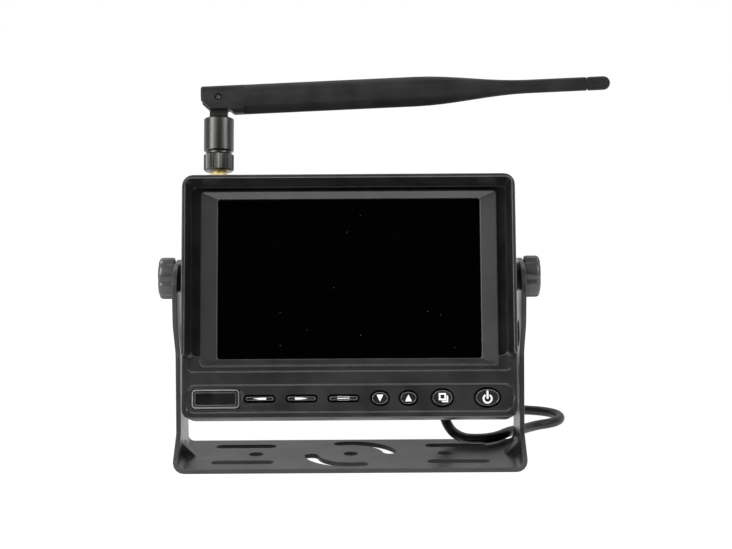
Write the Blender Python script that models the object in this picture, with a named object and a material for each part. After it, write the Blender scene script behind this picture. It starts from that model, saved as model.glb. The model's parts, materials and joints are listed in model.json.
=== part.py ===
"""Dash monitor of a wireless backup camera kit.

A five-inch screen in a two-piece housing tilts between the arms of a folded steel bracket and is
clamped by two lobed knobs. It has a sun visor, seven keys, a folding aerial and a power lead.
Metres, +Z up, +X to the right of someone who looks at the screen, +Y away from them.
"""
import bpy
import bmesh
from math import atan2, ceil, cos, pi, radians, sin, sqrt, tan
from mathutils import Vector

# Fits shared by every piece
CLEAR = 0.0003           # gap between neighbouring pieces
OVER = 0.001             # how far a cutter runs past the face that it opens
NEARLY = 0.999           # share of a half round, so that two arcs that meet keep separate points
LEAST_CORNER = 0.0005
SHEET_CORNER = 0.001     # corners of boards, panels and shields
SHARP = radians(35)      # steeper edges are shaded sharp
MERGE = 1e-6             # points nearer than this become one

# Bracket: one folded strip of sheet steel
SHEET = 0.002
FOOT_DEPTH = 0.047
BEND_RADIUS = 0.0045     # outside of each bend
PIVOT_Y = 0.00575        # behind the middle of the foot
PIVOT_Z = 0.0775         # above the underside of the foot
HEAD_OVER_PIVOT = 0.0071
HEAD_FRONT = 0.0178      # from the pivot to the front edge of an arm's head
HEAD_DROP = 0.0175       # from the pivot down to where the head narrows
NECK_DROP = 0.0305       # from the pivot down to the narrowest place
NECK_FRONT = 0.0098      # from the pivot to the front edge there
SHANK_FRONT = 0.0143     # from the pivot to the front edge above the flare
FLARE_TOP = 0.0135       # height at which the arm stops flaring into the foot
FLARE_BASE = 0.005
HEAD_CORNER = 0.012
NECK_FILLET = 0.006
LOWER_HOLE = 0.0115      # round hole in each arm under the pivot
LOWER_HOLE_DROP = 0.024
LOWER_HOLE_FORWARD = 0.0032
SLOT_LENGTH = 0.0262
SLOT_WIDTH = 0.0053
SLOT_X = 0.0455
SLOT_Y = 0.0128
FOOT_HOLE = 0.006
FOOT_HOLE_X = 0.0404
ARC_RADIUS = 0.017       # middle line of the two curved slots
ARC_WIDTH = 0.0057
ARC_FROM = radians(9)
ARC_TO = radians(106)
DART_LEG = 0.0068        # pressed dart that stiffens each bend
DART_WIDTH = 0.006

# Housing, measured from the pivot
REST_TILT = radians(16.8)
SIDE_GAP = 0.0025        # between each arm and the housing
BODY_CORNER = 0.0045
BODY_LOW_CORNER = 0.0034
FACE_FRONT = 0.01835     # from the pivot forward to the flat border
PARTING_FRONT = 0.007    # from the pivot forward to the joint of the two halves
BODY_BEHIND = 0.01065
BACK_ROUND = 0.003
WALL = 0.0022

# Screen and the stepped front face
SCREEN_WIDTH = 0.109
SCREEN_HEIGHT = 0.0667
SCREEN_BELOW = 0.0025    # middle of the screen under the pivot
FRAME_SIDE = 0.0145      # from the screen to the side of the body
FRAME_TOP = 0.00905      # from the screen to the top of the body
FRAME_BOTTOM = 0.02435   # from the screen to the bottom of the body
SLOPE_RUN = 0.0068       # width of the sloped frame at each side
SLOPE_RISE = 0.003       # width of the sloped frame above and below
SLOPE_CORNER = 0.0008
GLASS_SINK = 0.005       # glass behind the border
LIP = 0.0029             # straight wall between the slope and the glass
FRAME_RIM = 0.0004       # flat left on the outer edge of the sloped frame
FRAME_CORNER = 0.0015
STEP_DEPTH = 0.001       # recess behind the border
STEP_SIDE = 0.0038       # border left at each side of the recess, under the visor
STEP_SIDE_LOW = 0.0022   # the same below the visor
STEP_TOP = 0.0044
STEP_BOTTOM = 0.0191     # from the bottom of the body up to the recess
STEP_CORNER = 0.0023
CHANNEL_DEPTH = 0.003    # groove between the visor and the sloped frame
GLASS_EDGE = 0.0024      # glass hidden behind the frame all round
GLASS_THICK = 0.0011
LCD_EDGE = 0.0016
LCD_THICK = 0.005

# Keys under the screen
KEY_STRIP_SIDE = 0.002   # border left at each side of the key recess
KEY_STRIP_TOP = 0.0135   # from the bottom of the body
KEY_STRIP_BOTTOM = 0.0024
KEY_STRIP_CORNER = 0.0035
KEY_WALL = 0.0022
KEY_PROUD = 0.0009
KEY_SLIDE_GAP = 0.00035
KEY_FLANGE = 0.0008
KEY_FLANGE_THICK = 0.001
KEY_STEM = 0.0026
KEY_STEM_LENGTH = 0.0007
KEY_TRAVEL = 0.0005
KEY_SWITCH_GAP = 0.0002
SWITCH_SIZE = 0.0052
SWITCH_HEIGHT = 0.0018
SWITCH_BUTTON = 0.0007
KEY_BOARD_HEIGHT = 0.0085
KEY_BOARD_THICK = 0.0012
KEYS = (                 # name, place across the face, hole width, hole height, straight sides
    ("left_button", -0.0369, 0.0133, 0.0034, True),
    ("right_button", -0.0197, 0.0133, 0.0034, True),
    ("menu_button", -0.0025, 0.0133, 0.0034, True),
    ("down_button", 0.0124, 0.0084, 0.0068, False),
    ("up_button", 0.0241, 0.0084, 0.0068, False),
    ("window_button", 0.0380, 0.0100, 0.0081, False),
    ("power_button", 0.0565, 0.0115, 0.0087, False),
)
BADGE_X = -0.055
BADGE_WIDTH = 0.0195
BADGE_HEIGHT = 0.0078
BADGE_CORNER = 0.001
BADGE_SINK = 0.0005
BADGE_PROUD = 0.0008

# Sun visor
VISOR_DEPTH = 0.009
VISOR_DRAFT = 0.0006
VISOR_RIM = 0.0014
VISOR_LEG = 0.0255       # from the bottom of the body up to the visor's ends
VISOR_END = 0.35         # radius of the visor's ends, as a share of its thickness
TAB_LENGTH = 0.008
TAB_THICK = 0.0014
TAB_DEPTH = 0.0022
TAB_SPREAD = 0.042

# Clamp knobs
STUD = 0.005
STUD_PITCH = 0.0008
STUD_REACH = 0.0115      # from the outside of the arm into the insert
KNOB_DIAMETER = 0.0176
KNOB_LENGTH = 0.0068
KNOB_DOME = 0.0012
KNOB_CROWN = 0.0106      # flat middle of the outer face
KNOB_BORE = 0.0048       # depth of the bore that holds the stud
KNOB_LOBES = 6
KNOB_LOBE_DEPTH = 0.0011
KNOB_POCKET = 0.0013
LOCK_WASHER_THICK = 0.0008
LOCK_WASHER_DIAMETER = 0.0096
RUBBER_DIAMETER = 0.0119
INSERT_DIAMETER = 0.007
INSERT_LENGTH = 0.008
INSERT_BOSS_WALL = 0.0018

# Inside and back of the housing
BOARD_WIDTH = 0.100
BOARD_HEIGHT = 0.066
BOARD_THICK = 0.0016
BOARD_BEHIND_LCD = 0.005
SHIELD_WIDTH = 0.034
SHIELD_HEIGHT = 0.024
SHIELD_THICK = 0.003
STANDOFF = 0.005
SCREW = 0.0026
SCREW_HEAD = 0.005
SCREW_HEAD_THICK = 0.0018
SCREW_SINK = 0.0006
SCREW_INSET = 0.0054     # from the sides and top of the body to each screw
SCREW_UNDER = 0.0073     # lower screws under the edge of the screen
SCREW_POST = 0.006
SCREW_BITE = 0.004
VENT_COUNT = 9
VENT_PITCH = 0.0055
VENT_WIDTH = 0.002
VENT_HEIGHT = 0.016
VENT_ABOVE = 0.018       # middle of the vents over the pivot

# Aerial
AERIAL_X = -0.0556
AERIAL_FRONT = 0.00035   # its axis in front of the pivot
JACK_DIAMETER = 0.00625
JACK_OVER_TOP = 0.009
JACK_BORE = 0.0046
JACK_BORE_DEPTH = 0.004
HEX_FLATS = 0.008
HEX_THICK = 0.002
JACK_NUT_THICK = 0.0042
NUT_DIAMETER = 0.0129
NUT_OVER_TOP = 0.0059    # underside of the coupling nut
NUT_LENGTH = 0.0073
NUT_TEETH = 30
NUT_TOOTH = 0.00035
NUT_LIP = 0.0012
NUT_ROOM = 0.0092        # bore that holds the collar of the swivel
COLLAR_DIAMETER = 0.0084
COLLAR_THICK = 0.002
SWIVEL_DIAMETER = 0.0128
SWIVEL_LENGTH = 0.0144
SWIVEL_GROOVE = 0.0108
SWIVEL_GROOVE_LENGTH = 0.0008
SWIVEL_CONE = 0.0009
SWIVEL_CROWN = 0.008
PIN_OVER_CROWN = 0.0079
TONGUE_WIDTH = 0.0077
TONGUE_THICK = 0.004
PIN_DIAMETER = 0.0024
PIN_SINK = 0.0006
PADDLE_REST = radians(2.36)
PADDLE_HEIGHT = 0.0129
PADDLE_DEPTH = 0.010
PADDLE_DROP = 0.00073    # its middle line under the pin
PADDLE_END = 0.0075      # beyond the pin
PADDLE_EDGE = 0.0006     # length of the softened edge at each end
PADDLE_EDGE_SHARE = 0.92  # section left at the very end
PADDLE_SQUARE = 3.0      # power of the soft rectangle; a round has 2
PADDLE_BODY = 0.084      # from the pin to where it starts to taper
PADDLE_TAPER = 0.0485
PADDLE_REACH = 0.158     # from the pin to the end of the sheath
PADDLE_TIP = 0.0059
PADDLE_RELIEF = 0.00215  # underside of the knuckle is cut up by this
PADDLE_RELIEF_END = 0.0044
PADDLE_CHAMFER = 0.0039
CAP_LENGTH = 0.0098
RADIATOR_DIAMETER = 0.0022
RADIATOR_LENGTH = 0.112

# Power lead
LEAD_DIAMETER = 0.0044
GLAND_X = 0.036
GLAND_BELOW = 0.044      # under the pivot
GLAND_BASE = 0.0095
GLAND_TIP = 0.0062
GLAND_LENGTH = 0.012
GLAND_NECK = 0.0072
GLAND_FLANGE = 0.0100
GLAND_FLANGE_THICK = 0.0015
LEAD_ROUTE = (           # between the gland and the coil; foot middle, floor at 0
    (0.0375, 0.0222, 0.0232),
    (0.0396, 0.0231, 0.0168),
    (0.0411, 0.0225, 0.0122),
    (0.0427, 0.0208, 0.0086),
    (0.0448, 0.0183, 0.0064),
    (0.0475, 0.0158, 0.0052),
    (0.0504, 0.0141, 0.0047),
    (0.0536, 0.0133, 0.0047),
    (0.0568, 0.0134, 0.0047),
    (0.0600, 0.0144, 0.0047),
    (0.0629, 0.0163, 0.0047),
    (0.0654, 0.0190, 0.0047),
    (0.0690, 0.0244, 0.0046),
    (0.0725, 0.0300, 0.0040),
    (0.0762, 0.0356, 0.0030),
    (0.0802, 0.0408, 0.0026),
    (0.0848, 0.0448, 0.0026),
    (0.0901, 0.0480, 0.0026),
    (0.0943, 0.0525, 0.0026),
    (0.0960, 0.0585, 0.0026),
    (0.0947, 0.0648, 0.0026),
    (0.0903, 0.0695, 0.0026),
    (0.0835, 0.0720, 0.0027),
    (0.0730, 0.0736, 0.0028),
    (0.0610, 0.0745, 0.0031),
    (0.0500, 0.0748, 0.0033),
)
LEAD_STEP = 2.0          # diameters between points of the tube
PATH_FINE = 20           # steps between two route points before they are spaced evenly
COIL_X = 0.030
COIL_Y = 0.105
COIL_MIDDLE = 0.049      # diameter at the middle of its turns
COIL_TURNS = 2.5         # in each of two layers
COIL_POINTS = 24         # in a turn
COIL_CLIMB = 0.5         # turns that the climb to the upper layer takes
TURN_GAP = 0.0006
TIE_THICK = 0.0006
TIE_WIDTH = 0.006
TIE_CORNER = 0.0014      # inside
PLUG_LENGTH = 0.042
PLUG_RELIEF = 0.0084     # end of the tapered relief
PLUG_GRIP = 0.014        # start of the full grip
PLUG_SHOULDER = 0.0294   # end of the full grip
PLUG_NOSE = 0.0108

# Values that follow from the ones above
BODY_HALF = SCREEN_WIDTH / 2 + FRAME_SIDE
BODY_ABOVE = SCREEN_HEIGHT / 2 + FRAME_TOP - SCREEN_BELOW
BODY_BELOW = SCREEN_HEIGHT / 2 + FRAME_BOTTOM + SCREEN_BELOW
SCREW_BELOW = SCREEN_HEIGHT / 2 + SCREW_UNDER + SCREEN_BELOW
ARM_INSIDE = BODY_HALF + SIDE_GAP
BRACKET_WIDTH = 2 * (ARM_INSIDE + SHEET)   # outside of arm to outside of arm
FACE_Y = -FACE_FRONT
PARTING_Y = -PARTING_FRONT
BACK_Y = BODY_BEHIND
STEP_Y = FACE_Y + STEP_DEPTH
CHANNEL_Y = FACE_Y + CHANNEL_DEPTH
GLASS_Y = FACE_Y + GLASS_SINK
FRAME_BACK_Y = GLASS_Y - CLEAR
LCD_Y = GLASS_Y + GLASS_THICK + CLEAR
SCREEN_Z = -SCREEN_BELOW
KEY_Z = -BODY_BELOW + (KEY_STRIP_TOP + KEY_STRIP_BOTTOM) / 2
KEY_BACK_Y = STEP_Y + KEY_WALL
KEY_FLANGE_Y = KEY_BACK_Y + CLEAR
KEY_STEM_END_Y = KEY_FLANGE_Y + KEY_FLANGE_THICK + KEY_STEM_LENGTH
SWITCH_Y = KEY_STEM_END_Y + KEY_TRAVEL + KEY_SWITCH_GAP
KEY_BOARD_Y = SWITCH_Y + SWITCH_BUTTON + SWITCH_HEIGHT
BOARD_Y = LCD_Y + LCD_THICK + BOARD_BEHIND_LCD
AERIAL_Y = -AERIAL_FRONT
NUT_Z = BODY_ABOVE + NUT_OVER_TOP
SWIVEL_Z = NUT_Z + NUT_LENGTH + CLEAR
CROWN_Z = SWIVEL_Z + SWIVEL_GROOVE_LENGTH + SWIVEL_LENGTH + SWIVEL_CONE
PIN_Z = CROWN_Z + PIN_OVER_CROWN
STUD_HOLE = STUD + 2 * CLEAR
COIL_FLOOR = CLEAR / 2 + TIE_THICK + CLEAR + LEAD_DIAMETER / 2
TURN_PITCH = LEAD_DIAMETER + TURN_GAP


def clear_scene():
    """Start from an empty scene."""
    for item in list(bpy.data.objects):
        bpy.data.objects.remove(item, do_unlink=True)


def material(name, colour, roughness, metallic=0.0):
    """Principled material of one finish."""
    made = bpy.data.materials.new(name)
    made.use_nodes = True
    shader = made.node_tree.nodes["Principled BSDF"]
    shader.inputs["Base Color"].default_value = (*colour, 1.0)
    shader.inputs["Roughness"].default_value = roughness
    shader.inputs["Metallic"].default_value = metallic
    return made


def empty(name, parent=None, location=(0, 0, 0), rotation=(0, 0, 0)):
    """Empty that carries the pieces of one moving group."""
    carrier = bpy.data.objects.new(name, None)
    bpy.context.scene.collection.objects.link(carrier)
    carrier.parent = parent
    carrier.location = location
    carrier.rotation_euler = rotation
    return carrier


def piece(name, shape, finish, parent, location=(0, 0, 0), rotation=(0, 0, 0)):
    """Object made of a bmesh, hung on a carrier."""
    mesh = bpy.data.meshes.new(name)
    shape.to_mesh(mesh)
    shape.free()
    made = bpy.data.objects.new(name, mesh)
    bpy.context.scene.collection.objects.link(made)
    made.parent = parent
    made.location = location
    made.rotation_euler = rotation
    if finish is not None:
        mesh.materials.append(finish)
        mesh.shade_smooth()
        mesh.set_sharp_from_angle(angle=SHARP)
    return made


def combine(target, name, shape, operation="DIFFERENCE"):
    """Cut a shape out of a piece, or join it on, with a hidden tool body in the piece's own axes."""
    tool = piece(name, shape, None, target.parent, target.location, target.rotation_euler)
    tool.hide_render = True
    tool.display_type = "WIRE"
    step = target.modifiers.new(name, "BOOLEAN")
    step.operation = operation
    step.object = tool


def merged(shapes):
    """One bmesh that holds several separate shapes."""
    whole = bmesh.new()
    for shape in shapes:
        mesh = bpy.data.meshes.new("shape")
        shape.to_mesh(mesh)
        shape.free()
        whole.from_mesh(mesh)
        bpy.data.meshes.remove(mesh)
    return whole


def along(axis, a, b, place):
    """Point of a plane square to an axis: X takes (y, z), Y takes (x, z) and Z takes (x, y)."""
    points = {"X": (place, a, b), "Y": (a, place, b), "Z": (a, b, place)}
    return Vector(points[axis])


def prism(outline, low, high, axis):
    """Closed outline pushed along an axis."""
    shape = bmesh.new()
    base = shape.faces.new([shape.verts.new(along(axis, a, b, low)) for a, b in outline])
    pushed = bmesh.ops.extrude_face_region(shape, geom=[base])["geom"]
    top = [part for part in pushed if isinstance(part, bmesh.types.BMVert)]
    bmesh.ops.translate(shape, verts=top, vec=along(axis, 0, 0, high - low))
    bmesh.ops.recalc_face_normals(shape, faces=shape.faces)
    return shape


def loft(rings, axis):
    """Skin over outlines of equal point counts, given with their places along an axis."""
    shape = bmesh.new()
    loops = [[shape.verts.new(along(axis, a, b, place)) for a, b in outline]
             for outline, place in rings]
    for one, two in zip(loops, loops[1:]):
        for i in range(len(one)):
            j = (i + 1) % len(one)
            shape.faces.new((one[i], one[j], two[j], two[i]))
    shape.faces.new(loops[0])
    shape.faces.new(loops[-1])
    bmesh.ops.recalc_face_normals(shape, faces=shape.faces)
    return shape


def turned(profile, axis="Z", steps=24, closed=False):
    """Solid turned about an axis from (radius, place) points; a closed profile gives a ring."""
    shape = bmesh.new()
    spare = {"X": Vector((0, 1, 0)), "Y": Vector((0, 0, 1)), "Z": Vector((1, 0, 0))}[axis]
    line = along(axis, 0, 0, 1)
    verts = [shape.verts.new(spare * radius + line * place) for radius, place in profile]
    pairs = list(zip(verts, verts[1:]))
    if closed:
        pairs.append((verts[-1], verts[0]))
    edges = [shape.edges.new(pair) for pair in pairs]
    bmesh.ops.spin(shape, geom=verts + edges, cent=(0, 0, 0), axis=line, angle=2 * pi, steps=steps,
                   use_merge=True)
    bmesh.ops.remove_doubles(shape, verts=shape.verts, dist=MERGE)
    bmesh.ops.recalc_face_normals(shape, faces=shape.faces)
    return shape


def rounded(corners, steps=4):
    """Outline through (a, b, radius) corners, each corner turned into an arc."""
    outline = []
    for i, (a, b, radius) in enumerate(corners):
        corner = Vector((a, b))
        if radius <= 0:
            outline.append((a, b))
            continue
        before = (Vector(corners[i - 1][:2]) - corner).normalized()
        after = (Vector(corners[(i + 1) % len(corners)][:2]) - corner).normalized()
        half = before.angle(after) / 2
        middle = corner + (before + after).normalized() * (radius / sin(half))
        start = corner + before * (radius / tan(half)) - middle
        way = 1 if before.x * after.y < before.y * after.x else -1
        for k in range(steps + 1):
            turn = way * (pi - 2 * half) * k / steps
            outline.append((middle.x + start.x * cos(turn) - start.y * sin(turn),
                            middle.y + start.x * sin(turn) + start.y * cos(turn)))
    return outline


def box_outline(left, right, low, high, radius=0.0, steps=4):
    """Rectangle with equal corner arcs."""
    corners = ((left, low, radius), (right, low, radius), (right, high, radius), (left, high, radius))
    return rounded(corners, steps)


def circle(diameter, a=0.0, b=0.0, count=24):
    """Round outline."""
    ring = [2 * pi * k / count for k in range(count)]
    return [(a + diameter / 2 * cos(turn), b + diameter / 2 * sin(turn)) for turn in ring]


def key_outline(width, height, straight, a=0.0, b=0.0, count=20):
    """Outline of a key: round ends with straight sides, or an oval."""
    points = []
    for k in range(count):
        turn = 2 * pi * (k + 0.5) / count
        if straight:
            end = (width - height) / 2 * (1 if cos(turn) > 0 else -1)
            points.append((a + end + height / 2 * cos(turn), b + height / 2 * sin(turn)))
        else:
            points.append((a + width / 2 * cos(turn), b + height / 2 * sin(turn)))
    return points


def arc_slot(middle, width, start, end, steps=12):
    """Outline of a curved slot with round ends about the origin."""
    def at(radius, turn):
        return (radius * cos(turn), radius * sin(turn))

    def cap(turn, way):
        centre = Vector(at(middle, turn))
        return [tuple(centre + Vector(at(width / 2, turn + way * pi * k / 6))) for k in range(1, 6)]

    spread = [start + (end - start) * k / steps for k in range(steps + 1)]
    outer = [at(middle + width / 2, turn) for turn in spread]
    inner = [at(middle - width / 2, turn) for turn in reversed(spread)]
    return outer + cap(end, 1) + inner + [(a, b) for a, b in reversed(cap(start, -1))]


def smooth_path(points, step):
    """Points spaced evenly along a smooth curve from the second given point to the last but one."""
    knots = [Vector(point) for point in points]
    fine = []
    for a, b, c, d in zip(knots, knots[1:], knots[2:], knots[3:]):
        for k in range(PATH_FINE):
            t = k / PATH_FINE
            fine.append(0.5 * (2 * b + (c - a) * t + (2 * a - 5 * b + 4 * c - d) * t ** 2
                               + (3 * b - a - 3 * c + d) * t ** 3))
    fine.append(knots[-2])
    length = sum((b - a).length for a, b in zip(fine, fine[1:]))
    count = ceil(length / step)
    picked = [fine[0]]
    walked = 0.0
    for a, b in zip(fine, fine[1:]):
        reach = (b - a).length
        while len(picked) < count and walked + reach >= length * len(picked) / count:
            picked.append(a.lerp(b, (length * len(picked) / count - walked) / reach))
        walked += reach
    return picked + [fine[-1]]


def tube(name, points, diameter, sides, finish, parent):
    """Round cord along points, closed at both ends."""
    curve = bpy.data.curves.new(name, "CURVE")
    curve.dimensions = "3D"
    curve.bevel_depth = diameter / 2
    curve.bevel_resolution = sides
    curve.use_fill_caps = True
    line = curve.splines.new("POLY")
    line.points.add(len(points) - 1)
    for target, point in zip(line.points, points):
        target.co = (*point, 1.0)
    curve.materials.append(finish)
    made = bpy.data.objects.new(name, curve)
    bpy.context.scene.collection.objects.link(made)
    made.parent = parent
    return made


def body_outline(inset=0.0):
    """Outline of the housing seen from the front, drawn in by an inset."""
    side = BODY_HALF - inset
    low, high = -BODY_BELOW + inset, BODY_ABOVE - inset
    foot, head = (max(corner - inset, LEAST_CORNER) for corner in (BODY_LOW_CORNER, BODY_CORNER))
    return rounded(((-side, low, foot), (side, low, foot), (side, high, head), (-side, high, head)))


def screw_places():
    """Where the four case screws stand."""
    across = BODY_HALF - SCREW_INSET
    return [(x, z) for x in (-across, across) for z in (-SCREW_BELOW, BODY_ABOVE - SCREW_INSET)]


def build_bracket(root, steel):
    """Folded bracket: foot with slots and holes, two shaped arms, a pressed dart in each bend."""
    half = BRACKET_WIDTH / 2
    top = PIVOT_Z + HEAD_OVER_PIVOT
    inner_bend = BEND_RADIUS - SHEET
    fold = rounded(((-half, top, 0), (-half, 0, BEND_RADIUS), (half, 0, BEND_RADIUS), (half, top, 0),
                    (ARM_INSIDE, top, 0), (ARM_INSIDE, SHEET, inner_bend), (-ARM_INSIDE, SHEET, inner_bend),
                    (-ARM_INSIDE, top, 0)))
    bracket = piece("u_bracket", prism(fold, -FOOT_DEPTH / 2, FOOT_DEPTH / 2, "Y"), steel, root)
    back = FOOT_DEPTH / 2 + OVER
    side = rounded(((-back, -OVER, 0), (-back, FLARE_BASE, 0),
                    (PIVOT_Y - SHANK_FRONT, FLARE_TOP, NECK_FILLET / 2),
                    (PIVOT_Y - NECK_FRONT, PIVOT_Z - NECK_DROP, NECK_FILLET),
                    (PIVOT_Y - HEAD_FRONT, PIVOT_Z - HEAD_DROP, NECK_FILLET),
                    (PIVOT_Y - HEAD_FRONT, top, HEAD_CORNER), (FOOT_DEPTH / 2, top, HEAD_CORNER),
                    (FOOT_DEPTH / 2, -OVER, 0)))
    combine(bracket, "arm_shape", prism(side, -half - OVER, half + OVER, "X"), "INTERSECT")

    dart = SHEET + DART_LEG
    press = dart - sqrt(2) * SHEET + SHEET
    darts = []
    dents = []
    for way in (-1, 1):
        ridge = ((way * (ARM_INSIDE + SHEET / 2), dart), (way * (half - dart), SHEET / 2),
                 (way * (ARM_INSIDE + SHEET / 2), SHEET / 2))
        darts.append(prism(ridge, -DART_WIDTH / 2, DART_WIDTH / 2, "Y"))
        dent = ((way * (half + OVER), press + OVER), (way * (half - press - OVER), -OVER),
                (way * (half + OVER), -OVER))
        dents.append(prism(dent, SHEET / 2 - DART_WIDTH / 2, DART_WIDTH / 2 - SHEET / 2, "Y"))
    combine(bracket, "bend_darts", merged(darts), "UNION")
    combine(bracket, "dart_dents", merged(dents))

    reach = (SLOT_LENGTH - SLOT_WIDTH) / 2
    holes = [prism(circle(FOOT_HOLE, x, 0, 20), -OVER, SHEET + OVER, "Z")
             for x in (-FOOT_HOLE_X, 0, FOOT_HOLE_X)]
    for x in (-SLOT_X, SLOT_X):
        for y in (-SLOT_Y, SLOT_Y):
            slot = box_outline(x - reach - SLOT_WIDTH / 2, x + reach + SLOT_WIDTH / 2, y - SLOT_WIDTH / 2,
                               y + SLOT_WIDTH / 2, SLOT_WIDTH / 2 * NEARLY)
            holes.append(prism(slot, -OVER, SHEET + OVER, "Z"))
    for turn in (0, pi):
        curved = arc_slot(ARC_RADIUS, ARC_WIDTH, ARC_FROM + turn, ARC_TO + turn)
        holes.append(prism(curved, -OVER, SHEET + OVER, "Z"))
    for x in (-half, ARM_INSIDE):
        pivot = circle(STUD_HOLE, PIVOT_Y, PIVOT_Z, 20)
        lower = circle(LOWER_HOLE, PIVOT_Y - LOWER_HOLE_FORWARD, PIVOT_Z - LOWER_HOLE_DROP, 24)
        holes += [prism(ring, x - OVER, x + SHEET + OVER, "X") for ring in (pivot, lower)]
    combine(bracket, "bracket_holes", merged(holes))


def build_bezel(monitor, plastic):
    """Front half of the case: border, stepped face, sloped frame, key holes and screw posts."""
    bezel = piece("front_bezel", prism(body_outline(), FACE_Y, PARTING_Y, "Y"), plastic, monitor)
    combine(bezel, "bezel_hollow", prism(body_outline(WALL), FRAME_BACK_Y, PARTING_Y + OVER, "Y"))
    key_room = box_outline(-BODY_HALF + WALL, BODY_HALF - WALL, -BODY_BELOW + WALL,
                           -BODY_BELOW + KEY_STRIP_TOP + KEY_FLANGE, BODY_LOW_CORNER - WALL)
    combine(bezel, "key_room", prism(key_room, KEY_BACK_Y, FRAME_BACK_Y + OVER, "Y"))

    foot_z = -BODY_BELOW + VISOR_LEG
    side = BODY_HALF - STEP_SIDE
    low_side = BODY_HALF - STEP_SIDE_LOW
    top = BODY_ABOVE - STEP_TOP
    step = rounded(((-low_side, -BODY_BELOW + STEP_BOTTOM, STEP_CORNER),
                    (low_side, -BODY_BELOW + STEP_BOTTOM, STEP_CORNER), (low_side, foot_z, 0),
                    (side, foot_z, 0), (side, top, STEP_CORNER), (-side, top, STEP_CORNER),
                    (-side, foot_z, 0), (-low_side, foot_z, 0)))
    strip = box_outline(-BODY_HALF + KEY_STRIP_SIDE, BODY_HALF - KEY_STRIP_SIDE,
                        -BODY_BELOW + KEY_STRIP_BOTTOM, -BODY_BELOW + KEY_STRIP_TOP, KEY_STRIP_CORNER)
    steps = [prism(line, FACE_Y - OVER, STEP_Y, "Y") for line in (step, strip)]
    combine(bezel, "face_steps", merged(steps))
    channel = box_outline(-side, side, foot_z, top, STEP_CORNER)
    combine(bezel, "visor_channel", prism(channel, FACE_Y - OVER, CHANNEL_Y, "Y"))

    lip_y = FRAME_BACK_Y - LIP
    grow = (lip_y - FACE_Y + OVER) / (lip_y - FACE_Y)

    def frame_line(run, rise, corner, steps):
        across = SCREEN_WIDTH / 2 + run
        tall = SCREEN_HEIGHT / 2 + rise
        return box_outline(-across, across, SCREEN_Z - tall, SCREEN_Z + tall, corner, steps)

    island = frame_line(SLOPE_RUN, SLOPE_RISE, FRAME_CORNER, 4)
    combine(bezel, "raised_frame", prism(island, FACE_Y, CHANNEL_Y + OVER, "Y"), "UNION")
    mouth = frame_line((SLOPE_RUN - FRAME_RIM) * grow, (SLOPE_RISE - FRAME_RIM) * grow, SLOPE_CORNER, 2)
    window = frame_line(0, 0, SLOPE_CORNER, 2)
    rings = ((mouth, FACE_Y - OVER), (window, lip_y), (window, FRAME_BACK_Y + OVER))
    combine(bezel, "screen_slope", loft(rings, "Y"))

    posts = []
    bites = []
    for x, z in screw_places():
        posts.append(prism(circle(SCREW_POST, x, z, 16), FRAME_BACK_Y - WALL / 2, PARTING_Y, "Y"))
        bites.append(prism(circle(SCREW + 2 * CLEAR, x, z, 12), PARTING_Y - SCREW_BITE - CLEAR,
                           PARTING_Y + OVER, "Y"))
    for x in key_board_posts():
        posts.append(prism(circle(STANDOFF, x, KEY_Z, 12), KEY_BACK_Y - WALL / 2, KEY_BOARD_Y - CLEAR,
                           "Y"))
    combine(bezel, "bezel_posts", merged(posts), "UNION")

    holes = [prism(key_outline(wide, tall, straight, x, KEY_Z), FACE_Y - OVER, KEY_BACK_Y + OVER, "Y")
             for name, x, wide, tall, straight in KEYS]
    badge = box_outline(BADGE_X - BADGE_WIDTH / 2 - CLEAR, BADGE_X + BADGE_WIDTH / 2 + CLEAR,
                        KEY_Z - BADGE_HEIGHT / 2 - CLEAR, KEY_Z + BADGE_HEIGHT / 2 + CLEAR, BADGE_CORNER)
    holes.append(prism(badge, FACE_Y - OVER, STEP_Y + BADGE_SINK + CLEAR, "Y"))
    holes += [prism(line, FACE_Y - OVER, FACE_Y + TAB_DEPTH + CLEAR, "Y") for line in tab_outlines(CLEAR)]
    combine(bezel, "bezel_holes", merged(holes + bites))


def key_board_posts():
    """Where the posts of the key board stand: behind the badge and between the last two keys."""
    return [BADGE_X, (KEYS[-2][1] + KEYS[-1][1]) / 2]


def tab_outlines(grown=0.0):
    """Outlines of the visor's tabs, or of their sockets when grown."""
    thick = TAB_THICK / 2 + grown
    long = TAB_LENGTH / 2 + grown
    side = BODY_HALF - STEP_SIDE / 2
    top = BODY_ABOVE - STEP_TOP / 2
    tabs = [box_outline(x - long, x + long, top - thick, top + thick)
            for x in (-TAB_SPREAD, 0, TAB_SPREAD)]
    return tabs + [box_outline(x - thick, x + thick, -long, long) for x in (-side, side)]


def build_visor(monitor, plastic):
    """Hood round the top and both sides of the face, thick at its root and thin at its rim."""
    foot_z = -BODY_BELOW + VISOR_LEG

    def hood_line(outside, top, inside, roof):
        end = (outside - inside) * VISOR_END
        return rounded(((-outside, foot_z, end), (-outside, top, BODY_CORNER), (outside, top, BODY_CORNER),
                        (outside, foot_z, end), (inside, foot_z, end), (inside, roof, STEP_CORNER),
                        (-inside, roof, STEP_CORNER), (-inside, foot_z, end)))

    root_y = FACE_Y - CLEAR
    root = hood_line(BODY_HALF, BODY_ABOVE, BODY_HALF - STEP_SIDE, BODY_ABOVE - STEP_TOP)
    outside = BODY_HALF - VISOR_DRAFT
    top = BODY_ABOVE - VISOR_DRAFT
    rim = hood_line(outside, top, outside - VISOR_RIM, top - VISOR_RIM)
    visor = piece("sun_visor", loft(((root, root_y), (rim, root_y - VISOR_DEPTH)), "Y"), plastic, monitor)
    tabs = [prism(line, root_y - TAB_DEPTH / 2, FACE_Y + TAB_DEPTH, "Y") for line in tab_outlines()]
    combine(visor, "visor_tabs", merged(tabs), "UNION")


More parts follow.
